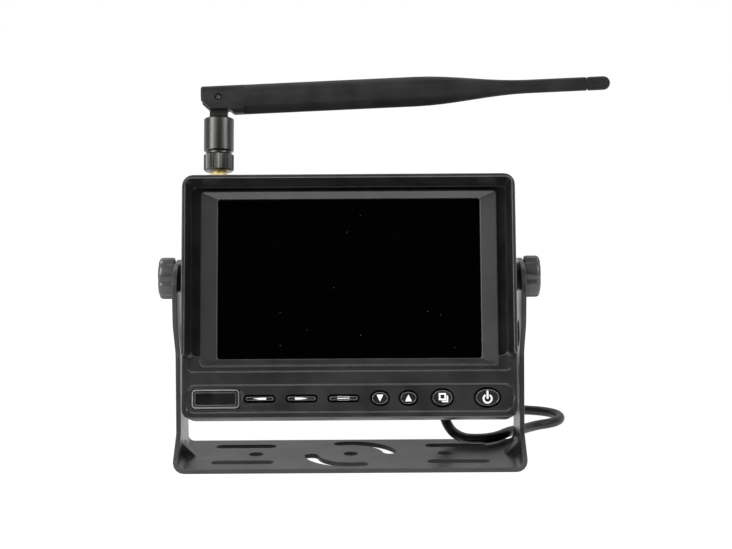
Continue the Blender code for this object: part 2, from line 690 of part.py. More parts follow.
def build_rear_housing(monitor, plastic):
    """Rear half of the case: vented tray with screw posts, board standoffs and insert bosses."""
    shell = prism(body_outline(), PARTING_Y + CLEAR, BACK_Y, "Y")
    rim = [edge for edge in shell.edges
           if all(abs(vert.co.y - BACK_Y) < MERGE for vert in edge.verts)]
    bmesh.ops.bevel(shell, geom=rim, offset=BACK_ROUND, segments=3, profile=0.5, affect="EDGES")
    housing = piece("rear_housing", shell, plastic, monitor)
    inside_y = BACK_Y - WALL
    combine(housing, "housing_hollow", prism(body_outline(WALL + CLEAR), PARTING_Y - OVER, inside_y, "Y"))

    root_y = inside_y + WALL / 2
    posts = [prism(circle(SCREW_POST, x, z, 16), PARTING_Y + CLEAR, root_y, "Y")
             for x, z in screw_places()]
    posts += [prism(circle(STANDOFF, x, z, 12), BOARD_Y + BOARD_THICK + CLEAR, root_y, "Y")
              for x, z in standoff_places()]
    boss = INSERT_DIAMETER + 2 * (CLEAR + INSERT_BOSS_WALL)
    boss_end = BODY_HALF - INSERT_LENGTH - 2 * CLEAR - INSERT_BOSS_WALL
    for low, high in ((-BODY_HALF + WALL / 2, -boss_end), (boss_end, BODY_HALF - WALL / 2)):
        posts.append(prism(circle(boss, 0, 0, 20), low, high, "X"))
    combine(housing, "housing_posts", merged(posts), "UNION")

    head_y = BACK_Y - SCREW_SINK - SCREW_HEAD_THICK - CLEAR
    holes = [prism(circle(SCREW_HEAD + 2 * CLEAR, x, z, 16), head_y, BACK_Y + OVER, "Y")
             for x, z in screw_places()]
    shanks = [prism(circle(SCREW + 2 * CLEAR, x, z, 12), PARTING_Y - OVER, head_y + CLEAR, "Y")
              for x, z in screw_places()]
    combine(housing, "screw_shanks", merged(shanks))
    for k in range(VENT_COUNT):
        x = (k - (VENT_COUNT - 1) / 2) * VENT_PITCH
        vent = box_outline(x - VENT_WIDTH / 2, x + VENT_WIDTH / 2, VENT_ABOVE - VENT_HEIGHT / 2,
                           VENT_ABOVE + VENT_HEIGHT / 2, VENT_WIDTH / 2 * NEARLY, 2)
        holes.append(prism(vent, inside_y - OVER, BACK_Y + OVER, "Y"))
    holes.append(prism(circle(GLAND_NECK + 2 * CLEAR, GLAND_X, -GLAND_BELOW, 20), inside_y - OVER,
                       BACK_Y + OVER, "Y"))
    holes.append(prism(circle(JACK_DIAMETER + 2 * CLEAR, AERIAL_X, AERIAL_Y, 20), BODY_ABOVE - 2 * WALL,
                       BODY_ABOVE + OVER, "Z"))
    bore = circle(INSERT_DIAMETER + 2 * CLEAR, 0, 0, 20)
    depth = INSERT_LENGTH + 2 * CLEAR
    for low in (-BODY_HALF - OVER, BODY_HALF - depth):
        holes.append(prism(bore, low, low + depth + OVER, "X"))
    combine(housing, "housing_holes", merged(holes))


def standoff_places():
    """Where the main board rests on the rear housing."""
    across = BOARD_WIDTH / 2 - STANDOFF
    tall = BOARD_HEIGHT / 2 - STANDOFF
    return [(x, z) for x in (-across, across) for z in (SCREEN_Z - tall, SCREEN_Z + tall)]


def build_electronics(monitor, glass, backing, board, tin):
    """Screen glass, panel, main board with its shield, and the board under the keys."""
    across = SCREEN_WIDTH / 2 + GLASS_EDGE
    tall = SCREEN_HEIGHT / 2 + GLASS_EDGE
    sheet = box_outline(-across, across, SCREEN_Z - tall, SCREEN_Z + tall, LEAST_CORNER, 2)
    piece("screen_glass", prism(sheet, GLASS_Y, GLASS_Y + GLASS_THICK, "Y"), glass, monitor)
    across += LCD_EDGE
    tall += LCD_EDGE
    panel = box_outline(-across, across, SCREEN_Z - tall, SCREEN_Z + tall, SHEET_CORNER, 2)
    piece("lcd_module", prism(panel, LCD_Y, LCD_Y + LCD_THICK, "Y"), backing, monitor)

    half = BOARD_WIDTH / 2
    tall = BOARD_HEIGHT / 2
    sheet = box_outline(-half, half, SCREEN_Z - tall, SCREEN_Z + tall, SHEET_CORNER)
    piece("main_board", prism(sheet, BOARD_Y, BOARD_Y + BOARD_THICK, "Y"), board, monitor)
    left = -half + 2 * STANDOFF
    can = box_outline(left, left + SHIELD_WIDTH, SCREEN_Z - SHIELD_HEIGHT / 2,
                      SCREEN_Z + SHIELD_HEIGHT / 2, SHEET_CORNER, 2)
    can_y = BOARD_Y + BOARD_THICK + CLEAR
    piece("rf_shield", prism(can, can_y, can_y + SHIELD_THICK, "Y"), tin, monitor)

    reach = max(abs(x) for name, x, wide, tall, straight in KEYS) + SWITCH_SIZE / 2 + CLEAR
    low = KEY_Z - KEY_BOARD_HEIGHT / 2
    strip = box_outline(-reach, reach, low, low + KEY_BOARD_HEIGHT, SHEET_CORNER, 2)
    keys = piece("key_board", prism(strip, KEY_BOARD_Y, KEY_BOARD_Y + KEY_BOARD_THICK, "Y"), board, monitor)
    switches = []
    half = SWITCH_SIZE / 2
    for name, x, wide, tall, straight in KEYS:
        foot = box_outline(x - half, x + half, KEY_Z - half, KEY_Z + half)
        top = circle(KEY_STEM, x, KEY_Z, 4)
        rings = ((foot, KEY_BOARD_Y + KEY_BOARD_THICK / 2), (foot, KEY_BOARD_Y - SWITCH_HEIGHT),
                 (top, KEY_BOARD_Y - SWITCH_HEIGHT), (top, SWITCH_Y))
        switches.append(loft(rings, "Y"))
    combine(keys, "key_switches", merged(switches), "UNION")


def build_keys(monitor, rubber, chrome):
    """Seven keys, each with a flange behind the bezel and a stem over its switch, and a blank badge."""
    for name, x, wide, tall, straight in KEYS:
        cap = (wide - 2 * KEY_SLIDE_GAP, tall - 2 * KEY_SLIDE_GAP)
        flange = (wide + 2 * KEY_FLANGE, tall + 2 * KEY_FLANGE)
        edge = KEY_PROUD / 2
        front = STEP_Y - KEY_PROUD
        flange_end = KEY_FLANGE_Y + KEY_FLANGE_THICK
        stem = key_outline(KEY_STEM, KEY_STEM, False)
        rings = ((key_outline(cap[0] - 2 * edge, cap[1] - 2 * edge, straight), front),
                 (key_outline(*cap, straight), front + edge),
                 (key_outline(*cap, straight), KEY_FLANGE_Y),
                 (key_outline(*flange, straight), KEY_FLANGE_Y),
                 (key_outline(*flange, straight), flange_end),
                 (stem, flange_end), (stem, KEY_STEM_END_Y))
        piece(name, loft(rings, "Y"), rubber, monitor, (x, 0, KEY_Z))

    wide = BADGE_WIDTH / 2
    tall = BADGE_HEIGHT / 2
    rise = BADGE_PROUD / 2
    foot = box_outline(-wide, wide, -tall, tall, BADGE_CORNER)
    crown = box_outline(-wide + rise, wide - rise, -tall + rise, tall - rise, BADGE_CORNER - rise / 2)
    back = STEP_Y + BADGE_SINK
    rings = ((crown, STEP_Y - BADGE_PROUD), (foot, STEP_Y - rise), (foot, back))
    piece("badge_blank", loft(rings, "Y"), chrome, monitor, (BADGE_X, 0, KEY_Z))


def build_case_screws(monitor, steel):
    """Four pan-head screws that hold the case together."""
    head = BACK_Y - SCREW_SINK
    seat = head - SCREW_HEAD_THICK
    end = PARTING_Y - SCREW_BITE + CLEAR
    profile = ((0, end), (SCREW / 2, end), (SCREW / 2, seat), (SCREW_HEAD / 2, seat),
               (SCREW_HEAD / 2, head - SCREW_HEAD_THICK / 3), (SCREW_HEAD / 3, head), (0, head))
    for number, (x, z) in enumerate(screw_places(), 1):
        piece(f"case_screw_{number}", turned(profile, "Y", 12), steel, monitor, (x, 0, z))


def build_clamp(monitor, side, out, plastic, steel, rubber, brass):
    """One clamp, out along -X or +X: knob and stud, lock washer, rubber washer, threaded insert."""
    face = BRACKET_WIDTH / 2 + CLEAR

    def ring(name, outer, low, high, finish):
        profile = ((STUD_HOLE / 2, out * low), (STUD_HOLE / 2, out * high), (outer / 2, out * high),
                   (outer / 2, out * low))
        piece(f"{side}_{name}", turned(profile, "X", closed=True), finish, monitor)

    seat = BODY_HALF - CLEAR
    ring("rubber_washer", RUBBER_DIAMETER, BODY_HALF + CLEAR, ARM_INSIDE - CLEAR, rubber)
    ring("insert", INSERT_DIAMETER, seat - INSERT_LENGTH, seat, brass)
    ring("lock_washer", LOCK_WASHER_DIAMETER, face, face + LOCK_WASHER_THICK, steel)

    count = KNOB_LOBES * 8

    def lobes(diameter):
        points = []
        for k in range(count):
            turn = 2 * pi * k / count
            reach = diameter / 2 - KNOB_LOBE_DEPTH * max(0.0, -cos(KNOB_LOBES * turn))
            points.append((reach * cos(turn), reach * sin(turn)))
        return points

    flat = face + KNOB_LENGTH - KNOB_DOME
    rings = ((lobes(KNOB_DIAMETER - KNOB_DOME), out * face),
             (lobes(KNOB_DIAMETER), out * (face + KNOB_DOME / 2)),
             (lobes(KNOB_DIAMETER), out * (flat - KNOB_DOME / 4)),
             (lobes(KNOB_DIAMETER - KNOB_DOME), out * (flat + KNOB_DOME / 2)),
             (lobes(KNOB_CROWN), out * (face + KNOB_LENGTH)))
    knob = piece(f"{side}_knob", loft(rings, "X"), plastic, monitor)
    pocket = face + KNOB_POCKET
    hub = face + KNOB_BORE
    profile = ((0, out * (face - OVER)), (LOCK_WASHER_DIAMETER / 2 + CLEAR, out * (face - OVER)),
               (LOCK_WASHER_DIAMETER / 2 + CLEAR, out * pocket), (STUD / 2 + CLEAR, out * pocket),
               (STUD / 2 + CLEAR, out * hub), (0, out * hub))
    combine(knob, f"{side}_knob_bore", turned(profile, "X", 20))
    inner = BRACKET_WIDTH / 2 - STUD_REACH
    outer = hub - CLEAR
    profile = ((0, out * inner), (STUD / 2 - CLEAR, out * inner), (STUD / 2, out * (inner + STUD_PITCH)),
               (STUD / 2, out * outer), (0, out * outer))
    piece(f"{side}_knob_stud", turned(profile, "X", 20), steel, monitor)


def hexagon(flats):
    """Outline of a hexagon from its width across flats."""
    return circle(flats / cos(pi / 6), 0, 0, 6)


def build_aerial(monitor, gold, black_metal, plastic, steel):
    """Bulkhead jack and nut, knurled coupling nut, swivel with its pin, and the folding paddle."""
    stand = empty("aerial_axis", monitor, (AERIAL_X, AERIAL_Y, 0))
    wall_in = BODY_ABOVE - WALL - CLEAR
    jack_top = BODY_ABOVE + JACK_OVER_TOP
    hex_top = wall_in - CLEAR
    jack = piece("aerial_jack", prism(hexagon(HEX_FLATS), hex_top - HEX_THICK, hex_top, "Z"), gold, stand)
    barrel = prism(circle(JACK_DIAMETER), hex_top - HEX_THICK / 2, jack_top, "Z")
    combine(jack, "jack_barrel", barrel, "UNION")
    combine(jack, "jack_bore", prism(circle(JACK_BORE), jack_top - JACK_BORE_DEPTH, jack_top + OVER, "Z"))
    nut_z = BODY_ABOVE + CLEAR
    nut = piece("aerial_jack_nut", prism(hexagon(HEX_FLATS), nut_z, nut_z + JACK_NUT_THICK, "Z"), gold,
                stand)
    nut_bore = prism(circle(JACK_DIAMETER + 2 * CLEAR), nut_z - OVER, nut_z + JACK_NUT_THICK + OVER, "Z")
    combine(nut, "jack_nut_bore", nut_bore)

    knurl = []
    for k in range(2 * NUT_TEETH):
        knurl.append(circle(NUT_DIAMETER - NUT_TOOTH * 2 * (k % 2), 0, 0, 2 * NUT_TEETH)[k])
    skirt = circle(NUT_DIAMETER - 4 * NUT_TOOTH, 0, 0, 2 * NUT_TEETH)
    nut_top = NUT_Z + NUT_LENGTH
    rings = ((skirt, NUT_Z), (knurl, NUT_Z + 2 * NUT_TOOTH), (knurl, nut_top - NUT_TOOTH),
             (skirt, nut_top))
    coupling = piece("coupling_nut", loft(rings, "Z"), black_metal, stand)
    room = nut_top - NUT_LIP
    room_low = jack_top + CLEAR
    lip_bore = (NUT_ROOM + JACK_DIAMETER) / 2 - CLEAR
    thread = JACK_DIAMETER / 2 + CLEAR
    profile = ((0, NUT_Z - OVER), (thread, NUT_Z - OVER), (thread, room_low), (NUT_ROOM / 2, room_low),
               (NUT_ROOM / 2, room), (lip_bore / 2, room), (lip_bore / 2, nut_top + OVER),
               (0, nut_top + OVER))
    combine(coupling, "coupling_bore", turned(profile))

    spigot = JACK_BORE / 2 - CLEAR
    spigot_z = jack_top - JACK_BORE_DEPTH + CLEAR
    collar = room - CLEAR
    neck = lip_bore / 2 - CLEAR
    groove = SWIVEL_Z + SWIVEL_GROOVE_LENGTH
    shoulder = CROWN_Z - SWIVEL_CONE
    chamfer = (SWIVEL_DIAMETER - SWIVEL_GROOVE) / 2
    profile = ((0, spigot_z), (spigot, spigot_z), (spigot, collar - COLLAR_THICK),
               (COLLAR_DIAMETER / 2, collar - COLLAR_THICK), (COLLAR_DIAMETER / 2, collar), (neck, collar),
               (neck, SWIVEL_Z), (SWIVEL_GROOVE / 2, SWIVEL_Z), (SWIVEL_GROOVE / 2, groove),
               (SWIVEL_DIAMETER / 2, groove + chamfer / 3), (SWIVEL_DIAMETER / 2, shoulder),
               (SWIVEL_CROWN / 2, CROWN_Z), (0, CROWN_Z))
    swivel = piece("aerial_swivel", turned(profile, "Z", 32), black_metal, stand)
    half = TONGUE_WIDTH / 2
    tongue = rounded(((-half, CROWN_Z - SWIVEL_CONE, 0), (half, CROWN_Z - SWIVEL_CONE, 0),
                      (half, PIN_Z + half, half * NEARLY), (-half, PIN_Z + half, half * NEARLY)), 6)
    combine(swivel, "swivel_tongue", prism(tongue, -TONGUE_THICK / 2, TONGUE_THICK / 2, "Y"), "UNION")
    eye = circle(PIN_DIAMETER + 2 * CLEAR, 0, PIN_Z, 16)
    combine(swivel, "swivel_eye", prism(eye, -TONGUE_THICK, TONGUE_THICK, "Y"))

    fold = empty("paddle_fold_axis", stand, (0, 0, PIN_Z), (0, -PADDLE_REST, 0))
    build_paddle(fold, plastic, black_metal, steel)


def paddle_section(x):
    """Half height and half depth of the paddle at a distance from the pin."""
    share = min(max((x - PADDLE_BODY) / PADDLE_TAPER, 0.0), 1.0)
    blend = (1 + cos(pi * share)) / 2
    thin = PADDLE_TIP / 2
    return thin + (PADDLE_HEIGHT / 2 - thin) * blend, thin + (PADDLE_DEPTH / 2 - thin) * blend


def paddle_ring(x, shrink=1.0, count=24):
    """Section of the paddle: a soft rectangle that turns round where it tapers."""
    tall, deep = paddle_section(x)
    share = min(max((x - PADDLE_BODY) / PADDLE_TAPER, 0.0), 1.0)
    power = 2.0 / (PADDLE_SQUARE - share)
    points = []
    for k in range(count):
        turn = 2 * pi * (k + 0.5) / count
        y = deep * shrink * abs(cos(turn)) ** power * (1 if cos(turn) > 0 else -1)
        z = tall * shrink * abs(sin(turn)) ** power * (1 if sin(turn) > 0 else -1)
        points.append((y, z - PADDLE_DROP))
    return points


def build_paddle(fold, plastic, black_metal, steel):
    """Folding paddle: slotted knuckle, flat body that tapers to a round mast, tip cap and radiator."""
    stations = [-PADDLE_END + PADDLE_EDGE, 0.0, PADDLE_BODY / 2]
    stations += [PADDLE_BODY + PADDLE_TAPER * k / 8 for k in range(9)]
    stations.append(PADDLE_REACH - PADDLE_EDGE)
    rings = [(paddle_ring(-PADDLE_END, PADDLE_EDGE_SHARE), -PADDLE_END)]
    rings += [(paddle_ring(x), x) for x in stations]
    rings.append((paddle_ring(PADDLE_REACH, PADDLE_EDGE_SHARE), PADDLE_REACH))
    sheath = piece("paddle_sheath", loft(rings, "X"), plastic, fold)

    low = -PADDLE_HEIGHT / 2 - PADDLE_DROP
    knuckle = low + PADDLE_RELIEF
    deep = PADDLE_DEPTH
    under = ((-PADDLE_END - OVER, low - OVER), (PADDLE_RELIEF_END + PADDLE_RELIEF + OVER, low - OVER),
             (PADDLE_RELIEF_END, knuckle), (-PADDLE_END + PADDLE_CHAMFER, knuckle),
             (-PADDLE_END - OVER, knuckle + PADDLE_CHAMFER + OVER))
    combine(sheath, "knuckle_relief", prism(under, -deep, deep, "Y"))
    slot = TONGUE_WIDTH / 2 + CLEAR
    room = rounded(((-PADDLE_END - OVER, low - OVER, 0), (slot, low - OVER, 0), (slot, slot, slot * NEARLY),
                    (-PADDLE_END - OVER, slot, 0)), 6)
    gap = TONGUE_THICK / 2 + CLEAR
    combine(sheath, "knuckle_slot", prism(room, -gap, gap, "Y"))
    eye = prism(circle(PIN_DIAMETER + 2 * CLEAR, 0, 0, 16), -deep, deep, "Y")
    rod_end = PADDLE_REACH - RADIATOR_LENGTH
    bore = prism(circle(RADIATOR_DIAMETER + 2 * CLEAR, 0, -PADDLE_DROP, 12), rod_end - CLEAR,
                 PADDLE_REACH + OVER, "X")
    combine(sheath, "sheath_bores", merged((eye, bore)))

    reach = paddle_section(0)[1] - PIN_SINK
    piece("aerial_pin", prism(circle(PIN_DIAMETER, 0, 0, 16), -reach, reach, "Y"), steel, fold)
    start = PADDLE_REACH + CLEAR
    end = start + CAP_LENGTH
    radius = PADDLE_TIP / 2
    profile = [(0, start), (radius * PADDLE_EDGE_SHARE, start), (radius, start + PADDLE_EDGE)]
    profile += [(radius * cos(k * pi / 12), end - radius + radius * sin(k * pi / 12)) for k in range(7)]
    cap = turned(profile[:-1] + [(0, end)], "X", 20)
    piece("aerial_tip_cap", cap, plastic, fold, (0, 0, -PADDLE_DROP))
    rod = prism(circle(RADIATOR_DIAMETER, 0, -PADDLE_DROP, 12), rod_end, PADDLE_REACH, "X")
    piece("aerial_radiator", rod, steel, fold)


def build_gland(monitor, rubber):
    """Tapered strain relief on the back, with a neck through the wall and a flange inside."""
    wall_in = BACK_Y - WALL
    tip = BACK_Y + CLEAR + GLAND_LENGTH
    flange = wall_in - CLEAR
    inner = flange - GLAND_FLANGE_THICK
    shoulder = BACK_Y + CLEAR
    profile = ((0, inner), (GLAND_FLANGE / 2, inner), (GLAND_FLANGE / 2, flange), (GLAND_NECK / 2, flange),
               (GLAND_NECK / 2, shoulder), (GLAND_BASE / 2, shoulder),
               (GLAND_BASE / 2, shoulder + GLAND_FLANGE_THICK), (GLAND_TIP / 2, tip), (0, tip))
    piece("cable_gland", turned(profile, "Y", 20), rubber, monitor, (GLAND_X, 0, -GLAND_BELOW))


def coil_points():
    """Turns of the put-away lead: spiral in on the floor layer, climb, spiral out on the upper layer."""
    middle = COIL_MIDDLE / 2
    outside = middle + TURN_PITCH * COIL_TURNS / 2
    inmost = COIL_TURNS + COIL_CLIMB / 2
    count = int(2 * inmost * COIL_POINTS)
    points = []
    for k in range(count + 1):
        turns = k / COIL_POINTS
        into = min(turns, inmost) - max(turns - inmost, 0.0)
        climb = min(max((turns - COIL_TURNS) / COIL_CLIMB, 0.0), 1.0)
        radius = outside - TURN_PITCH * into
        turn = -pi / 2 - 2 * pi * turns
        points.append(Vector((COIL_X + radius * cos(turn), COIL_Y + radius * sin(turn),
                              COIL_FLOOR + TURN_PITCH * (1 - cos(pi * climb)) / 2)))
    return points


def least_gap(points, diameter):
    """Least gap between turns of a tube, measured between points that aren't neighbours on it."""
    spans = [(b - a).length for a, b in zip(points, points[1:])]
    least = 1.0
    for i, one in enumerate(points):
        away = 0.0
        for j in range(i + 1, len(points)):
            away += spans[j - 1]
            if away > 4 * diameter:
                least = min(least, (points[j] - one).length - diameter)
    return least


def build_lead(root, monitor_matrix, rubber, dark):
    """Power lead from the gland over the foot and floor to a tied coil and a screw-lock plug."""
    tip = BACK_Y + CLEAR + GLAND_LENGTH + CLEAR
    start = monitor_matrix @ Vector((GLAND_X, tip, -GLAND_BELOW))
    straight = monitor_matrix @ Vector((GLAND_X, tip + LEAD_DIAMETER, -GLAND_BELOW))
    turns = coil_points()
    way_in = (turns[0] - turns[1]).normalized()
    way_in.z = 0.0
    head = turns[0] + way_in * LEAD_DIAMETER
    join = head + way_in * CLEAR
    route = [start, straight, *LEAD_ROUTE, join + way_in * LEAD_DIAMETER, join]
    lead = [start, *smooth_path(route, LEAD_STEP * LEAD_DIAMETER), join]
    tube("power_lead", lead, LEAD_DIAMETER, 2, rubber, root)

    way_out = (turns[-1] - turns[-2]).normalized()
    way_out.z = 0.0
    tail = turns[-1] + way_out * LEAD_DIAMETER
    coil = [head, *turns, tail]
    tube("lead_coil", coil, LEAD_DIAMETER, 1, rubber, root)
    print("least gap between the turns, mm:", round(least_gap(coil, LEAD_DIAMETER) * 1000, 2))

    held = [point.x - COIL_X for point in turns
            if point.x > COIL_X and abs(point.y - COIL_Y) < TIE_WIDTH]
    slack = LEAD_DIAMETER / 2 + CLEAR
    inner = (min(held) - slack, max(held) + slack)
    low = COIL_FLOOR - LEAD_DIAMETER / 2 - CLEAR
    high = COIL_FLOOR + TURN_PITCH + LEAD_DIAMETER / 2 + CLEAR
    band = box_outline(inner[0] - TIE_THICK, inner[1] + TIE_THICK, low - TIE_THICK, high + TIE_THICK,
                       TIE_CORNER + TIE_THICK)
    opening = box_outline(inner[0], inner[1], low, high, TIE_CORNER)
    wrap = prism(band, -TIE_WIDTH / 2, TIE_WIDTH / 2, "Y")
    tie = piece("coil_tie", wrap, dark, root, (COIL_X, COIL_Y, 0))
    combine(tie, "tie_opening", prism(opening, -TIE_WIDTH, TIE_WIDTH, "Y"))

    axis = COIL_FLOOR + TURN_PITCH
    grip = axis - CLEAR
    nose = PLUG_NOSE / 2
    profile = ((0, 0), (GLAND_TIP / 2, 0), (GLAND_BASE / 2, PLUG_RELIEF), (grip, PLUG_GRIP),
               (grip, PLUG_SHOULDER), (nose, PLUG_SHOULDER + OVER), (nose, PLUG_LENGTH), (0, PLUG_LENGTH))
    place = tail + way_out * CLEAR
    heading = (0, 0, atan2(way_out.y, way_out.x))
    piece("power_plug", turned(profile, "X", 20), dark, root, place, heading)


def stand_on_origin(root, cord):
    """Move the whole part so that its rigid pieces stand centred over the origin."""
    bpy.context.view_layer.update()
    graph = bpy.context.evaluated_depsgraph_get()
    low = Vector((1, 1, 1))
    high = -low
    for item in bpy.context.scene.objects:
        if item.type != "MESH" or item.hide_render or item.name in cord:
            continue
        solid = item.evaluated_get(graph)
        for vert in solid.data.vertices:
            place = solid.matrix_world @ vert.co
            low = Vector(map(min, low, place))
            high = Vector(map(max, high, place))
    root.location = (-(low.x + high.x) / 2, -(low.y + high.y) / 2, -low.z)


def main():
    """Build every piece in its place."""
    clear_scene()
    black = material("black_plastic", (0.028, 0.028, 0.029), 0.45)
    steel_coat = material("coated_steel", (0.05, 0.05, 0.052), 0.5)
    rubber = material("black_rubber", (0.012, 0.012, 0.012), 0.65)
    glass = material("screen", (0.004, 0.004, 0.005), 0.12)
    nickel = material("black_nickel", (0.16, 0.16, 0.15), 0.35, 1.0)
    gold = material("gold_plate", (0.83, 0.60, 0.22), 0.25, 1.0)
    steel = material("zinc_steel", (0.55, 0.55, 0.56), 0.35, 1.0)
    brass = material("brass", (0.72, 0.53, 0.25), 0.35, 1.0)
    board = material("circuit_board", (0.02, 0.12, 0.05), 0.5)
    panel = material("panel", (0.3, 0.3, 0.31), 0.4)

    root = empty("monitor_stand")
    monitor = empty("tilt_axis", root, (0, PIVOT_Y, PIVOT_Z), (-REST_TILT, 0, 0))
    bpy.context.view_layer.update()
    build_bracket(root, steel_coat)
    build_bezel(monitor, black)
    build_visor(monitor, black)
    build_rear_housing(monitor, black)
    build_electronics(monitor, glass, panel, board, steel)
    build_keys(monitor, rubber, nickel)
    build_case_screws(monitor, steel)
    build_clamp(monitor, "left", -1, black, steel, rubber, brass)
    build_clamp(monitor, "right", 1, black, steel, rubber, brass)
    build_aerial(monitor, gold, nickel, rubber, steel)
    build_gland(monitor, rubber)
    build_lead(root, monitor.matrix_world.copy(), rubber, black)
    stand_on_origin(root, ("coil_tie", "power_plug"))


main()
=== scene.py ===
"""Looks of the tilting dash monitor: stage, camera, dressed pieces and procedural finishes.

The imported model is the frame. Rigid pieces that need soft edges or finer detail are rebuilt over
their solids, in metres and in the same axes, and ride on the same bodies.
"""
import json
from functools import cache
from math import atan2, ceil, cos, pi, radians, sin

import bmesh
import bpy
from bpy.props import FloatProperty, FloatVectorProperty, IntProperty, PointerProperty
from mathutils import Matrix, Vector


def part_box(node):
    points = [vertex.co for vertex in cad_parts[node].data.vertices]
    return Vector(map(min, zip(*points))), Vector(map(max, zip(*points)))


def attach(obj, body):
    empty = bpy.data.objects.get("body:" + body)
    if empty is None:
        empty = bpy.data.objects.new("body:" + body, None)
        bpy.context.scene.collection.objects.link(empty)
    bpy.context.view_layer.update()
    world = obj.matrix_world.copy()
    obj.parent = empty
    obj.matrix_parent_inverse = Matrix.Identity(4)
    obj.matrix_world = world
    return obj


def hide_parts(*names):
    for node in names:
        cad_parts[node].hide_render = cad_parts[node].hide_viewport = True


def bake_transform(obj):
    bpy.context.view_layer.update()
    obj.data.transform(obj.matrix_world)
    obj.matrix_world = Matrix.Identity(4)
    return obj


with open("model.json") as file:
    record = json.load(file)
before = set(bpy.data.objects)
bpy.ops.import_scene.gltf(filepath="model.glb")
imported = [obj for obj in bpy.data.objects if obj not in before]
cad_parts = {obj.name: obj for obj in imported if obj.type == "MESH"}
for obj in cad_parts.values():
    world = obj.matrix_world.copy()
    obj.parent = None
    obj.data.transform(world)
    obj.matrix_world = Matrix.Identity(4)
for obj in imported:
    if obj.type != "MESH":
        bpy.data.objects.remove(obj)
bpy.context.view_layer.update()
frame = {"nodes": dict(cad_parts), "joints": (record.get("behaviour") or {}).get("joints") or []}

bl_info = {
    "name": "Dash monitor looks",
    "version": (1, 0, 0),
    "blender": (4, 5, 0),
    "location": "3D View > Sidebar > Monitor",
    "description": "Dresses the packed dash monitor and sets its stage",
    "category": "Object",
}

X, Y, Z = 0, 1, 2        # axes of a matrix

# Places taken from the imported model
JOINTS = {joint["name"]: joint for joint in frame["joints"]}
PIVOT = Vector(JOINTS["monitor_tilt"]["pos_m"])
FOLD = Vector(JOINTS["aerial_fold"]["pos_m"])
INTO_SCREEN = Vector(JOINTS["menu_press"]["axis"])
REST_TILT = atan2(-INTO_SCREEN.z, INTO_SCREEN.y)
TILTED = Matrix.Rotation(-REST_TILT, 4, "X")
CASE = Matrix.Translation(PIVOT) @ TILTED
INTO_CASE = CASE.inverted()
CASE_DEPTH = CASE.col[Y].to_3d()
AERIAL = Matrix.Translation(Vector(JOINTS["aerial_turn"]["pos_m"])) @ TILTED
PADDLE_RISE = radians(2.36)          # slope of the paddle at rest
PADDLE = Matrix.Translation(FOLD) @ TILTED @ Matrix.Rotation(-PADDLE_RISE, 4, "Y")
FOOT_LOW, FOOT_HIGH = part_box("u_bracket")
FOOT = Vector(((FOOT_LOW.x + FOOT_HIGH.x) / 2, (FOOT_LOW.y + FOOT_HIGH.y) / 2, FOOT_LOW.z))
FACING = Matrix.Rotation(pi / 2, 4, "X")   # turns +Z of a flat drawing towards the viewer

MERGE = 1e-6
FLAT = radians(0.5)      # faces that meet at less than this are joined
SHARP = radians(30)      # edges over this are rounded
SMOOTH = radians(38)     # edges under this are shaded smooth
CLEAR = 0.0003           # room that the CAD leaves between neighbours

# Photograph's frame and the camera fitted to it, measured from the middle of the foot
IMAGE_WIDTH = 732
FOCAL_PIXELS = 1727.0
SENSOR = 36.0
CAMERA_AT = Vector((0.0070, -0.7162, 0.1983))
CAMERA_PITCH = radians(9.41)
CAMERA_ROLL = -0.0061

# Soft lamps: name, place, size, power, and whether gloss shows them
LAMPS = (
    ("key_lamp", (-0.80, -0.50, 0.95), (0.5, 0.5), 7.5, True),
    ("second_lamp", (0.85, -0.45, 0.90), (0.5, 0.5), 4.0, True),
    ("front_lamp", (0.10, -0.50, 1.20), (0.9, 0.4), 0.7, True),
    ("top_lamp", (0.0, 0.55, 0.95), (0.9, 0.5), 1.4, True),
    ("left_lamp", (-0.85, -0.45, 0.48), (0.3, 0.5), 1.7, True),
    ("right_lamp", (0.85, -0.45, 0.48), (0.3, 0.5), 0.8, True),
    ("left_strip", (-0.42, -0.80, 0.47), (0.3, 0.5), 0.22, True),
    ("right_strip", (0.42, -0.80, 0.47), (0.3, 0.5), 0.12, True),
    ("fill_lamp", (-0.25, -0.85, 0.80), (0.9, 0.6), 8.0, False),
)
LAMP_AIM = Vector((0, 0, 0.08))

# Floor and world, whose light falls off from behind the object to its front
FLOOR_REACH = 8.0
FLOOR_COLOUR = (0.82, 0.82, 0.82, 1)
FLOOR_GLOW = 1.14
FLOOR_GLOW_SHARE = 0.86
WHITE = (1, 1, 1, 1)
WORLD_FALL = {"From Min": -0.05, "From Max": 0.40, "To Min": 0.02, "To Max": 0.58}

# Power lead: the route of the solids, from the middle of the foot
LEAD_DIAMETER = 0.0044
LEAD_ROUTE = (
    (0.0375, 0.0222, 0.0232), (0.0396, 0.0231, 0.0168), (0.0411, 0.0225, 0.0122),
    (0.0427, 0.0208, 0.0086), (0.0448, 0.0183, 0.0064), (0.0475, 0.0158, 0.0052),
    (0.0504, 0.0141, 0.0047), (0.0536, 0.0133, 0.0047), (0.0568, 0.0134, 0.0047),
    (0.0600, 0.0144, 0.0047), (0.0629, 0.0163, 0.0047), (0.0654, 0.0190, 0.0047),
    (0.0690, 0.0244, 0.0046), (0.0725, 0.0300, 0.0040), (0.0762, 0.0356, 0.0030),
    (0.0802, 0.0408, 0.0026), (0.0848, 0.0448, 0.0026), (0.0901, 0.0480, 0.0026),
    (0.0943, 0.0525, 0.0026), (0.0960, 0.0585, 0.0026), (0.0947, 0.0648, 0.0026),
    (0.0903, 0.0695, 0.0026), (0.0835, 0.0720, 0.0027), (0.0730, 0.0736, 0.0028),
    (0.0610, 0.0745, 0.0031), (0.0500, 0.0748, 0.0033),
)
LEAD_FINE = 20           # points tried between two of the route
LEAD_ROUND = 5           # bevel resolution of its curve

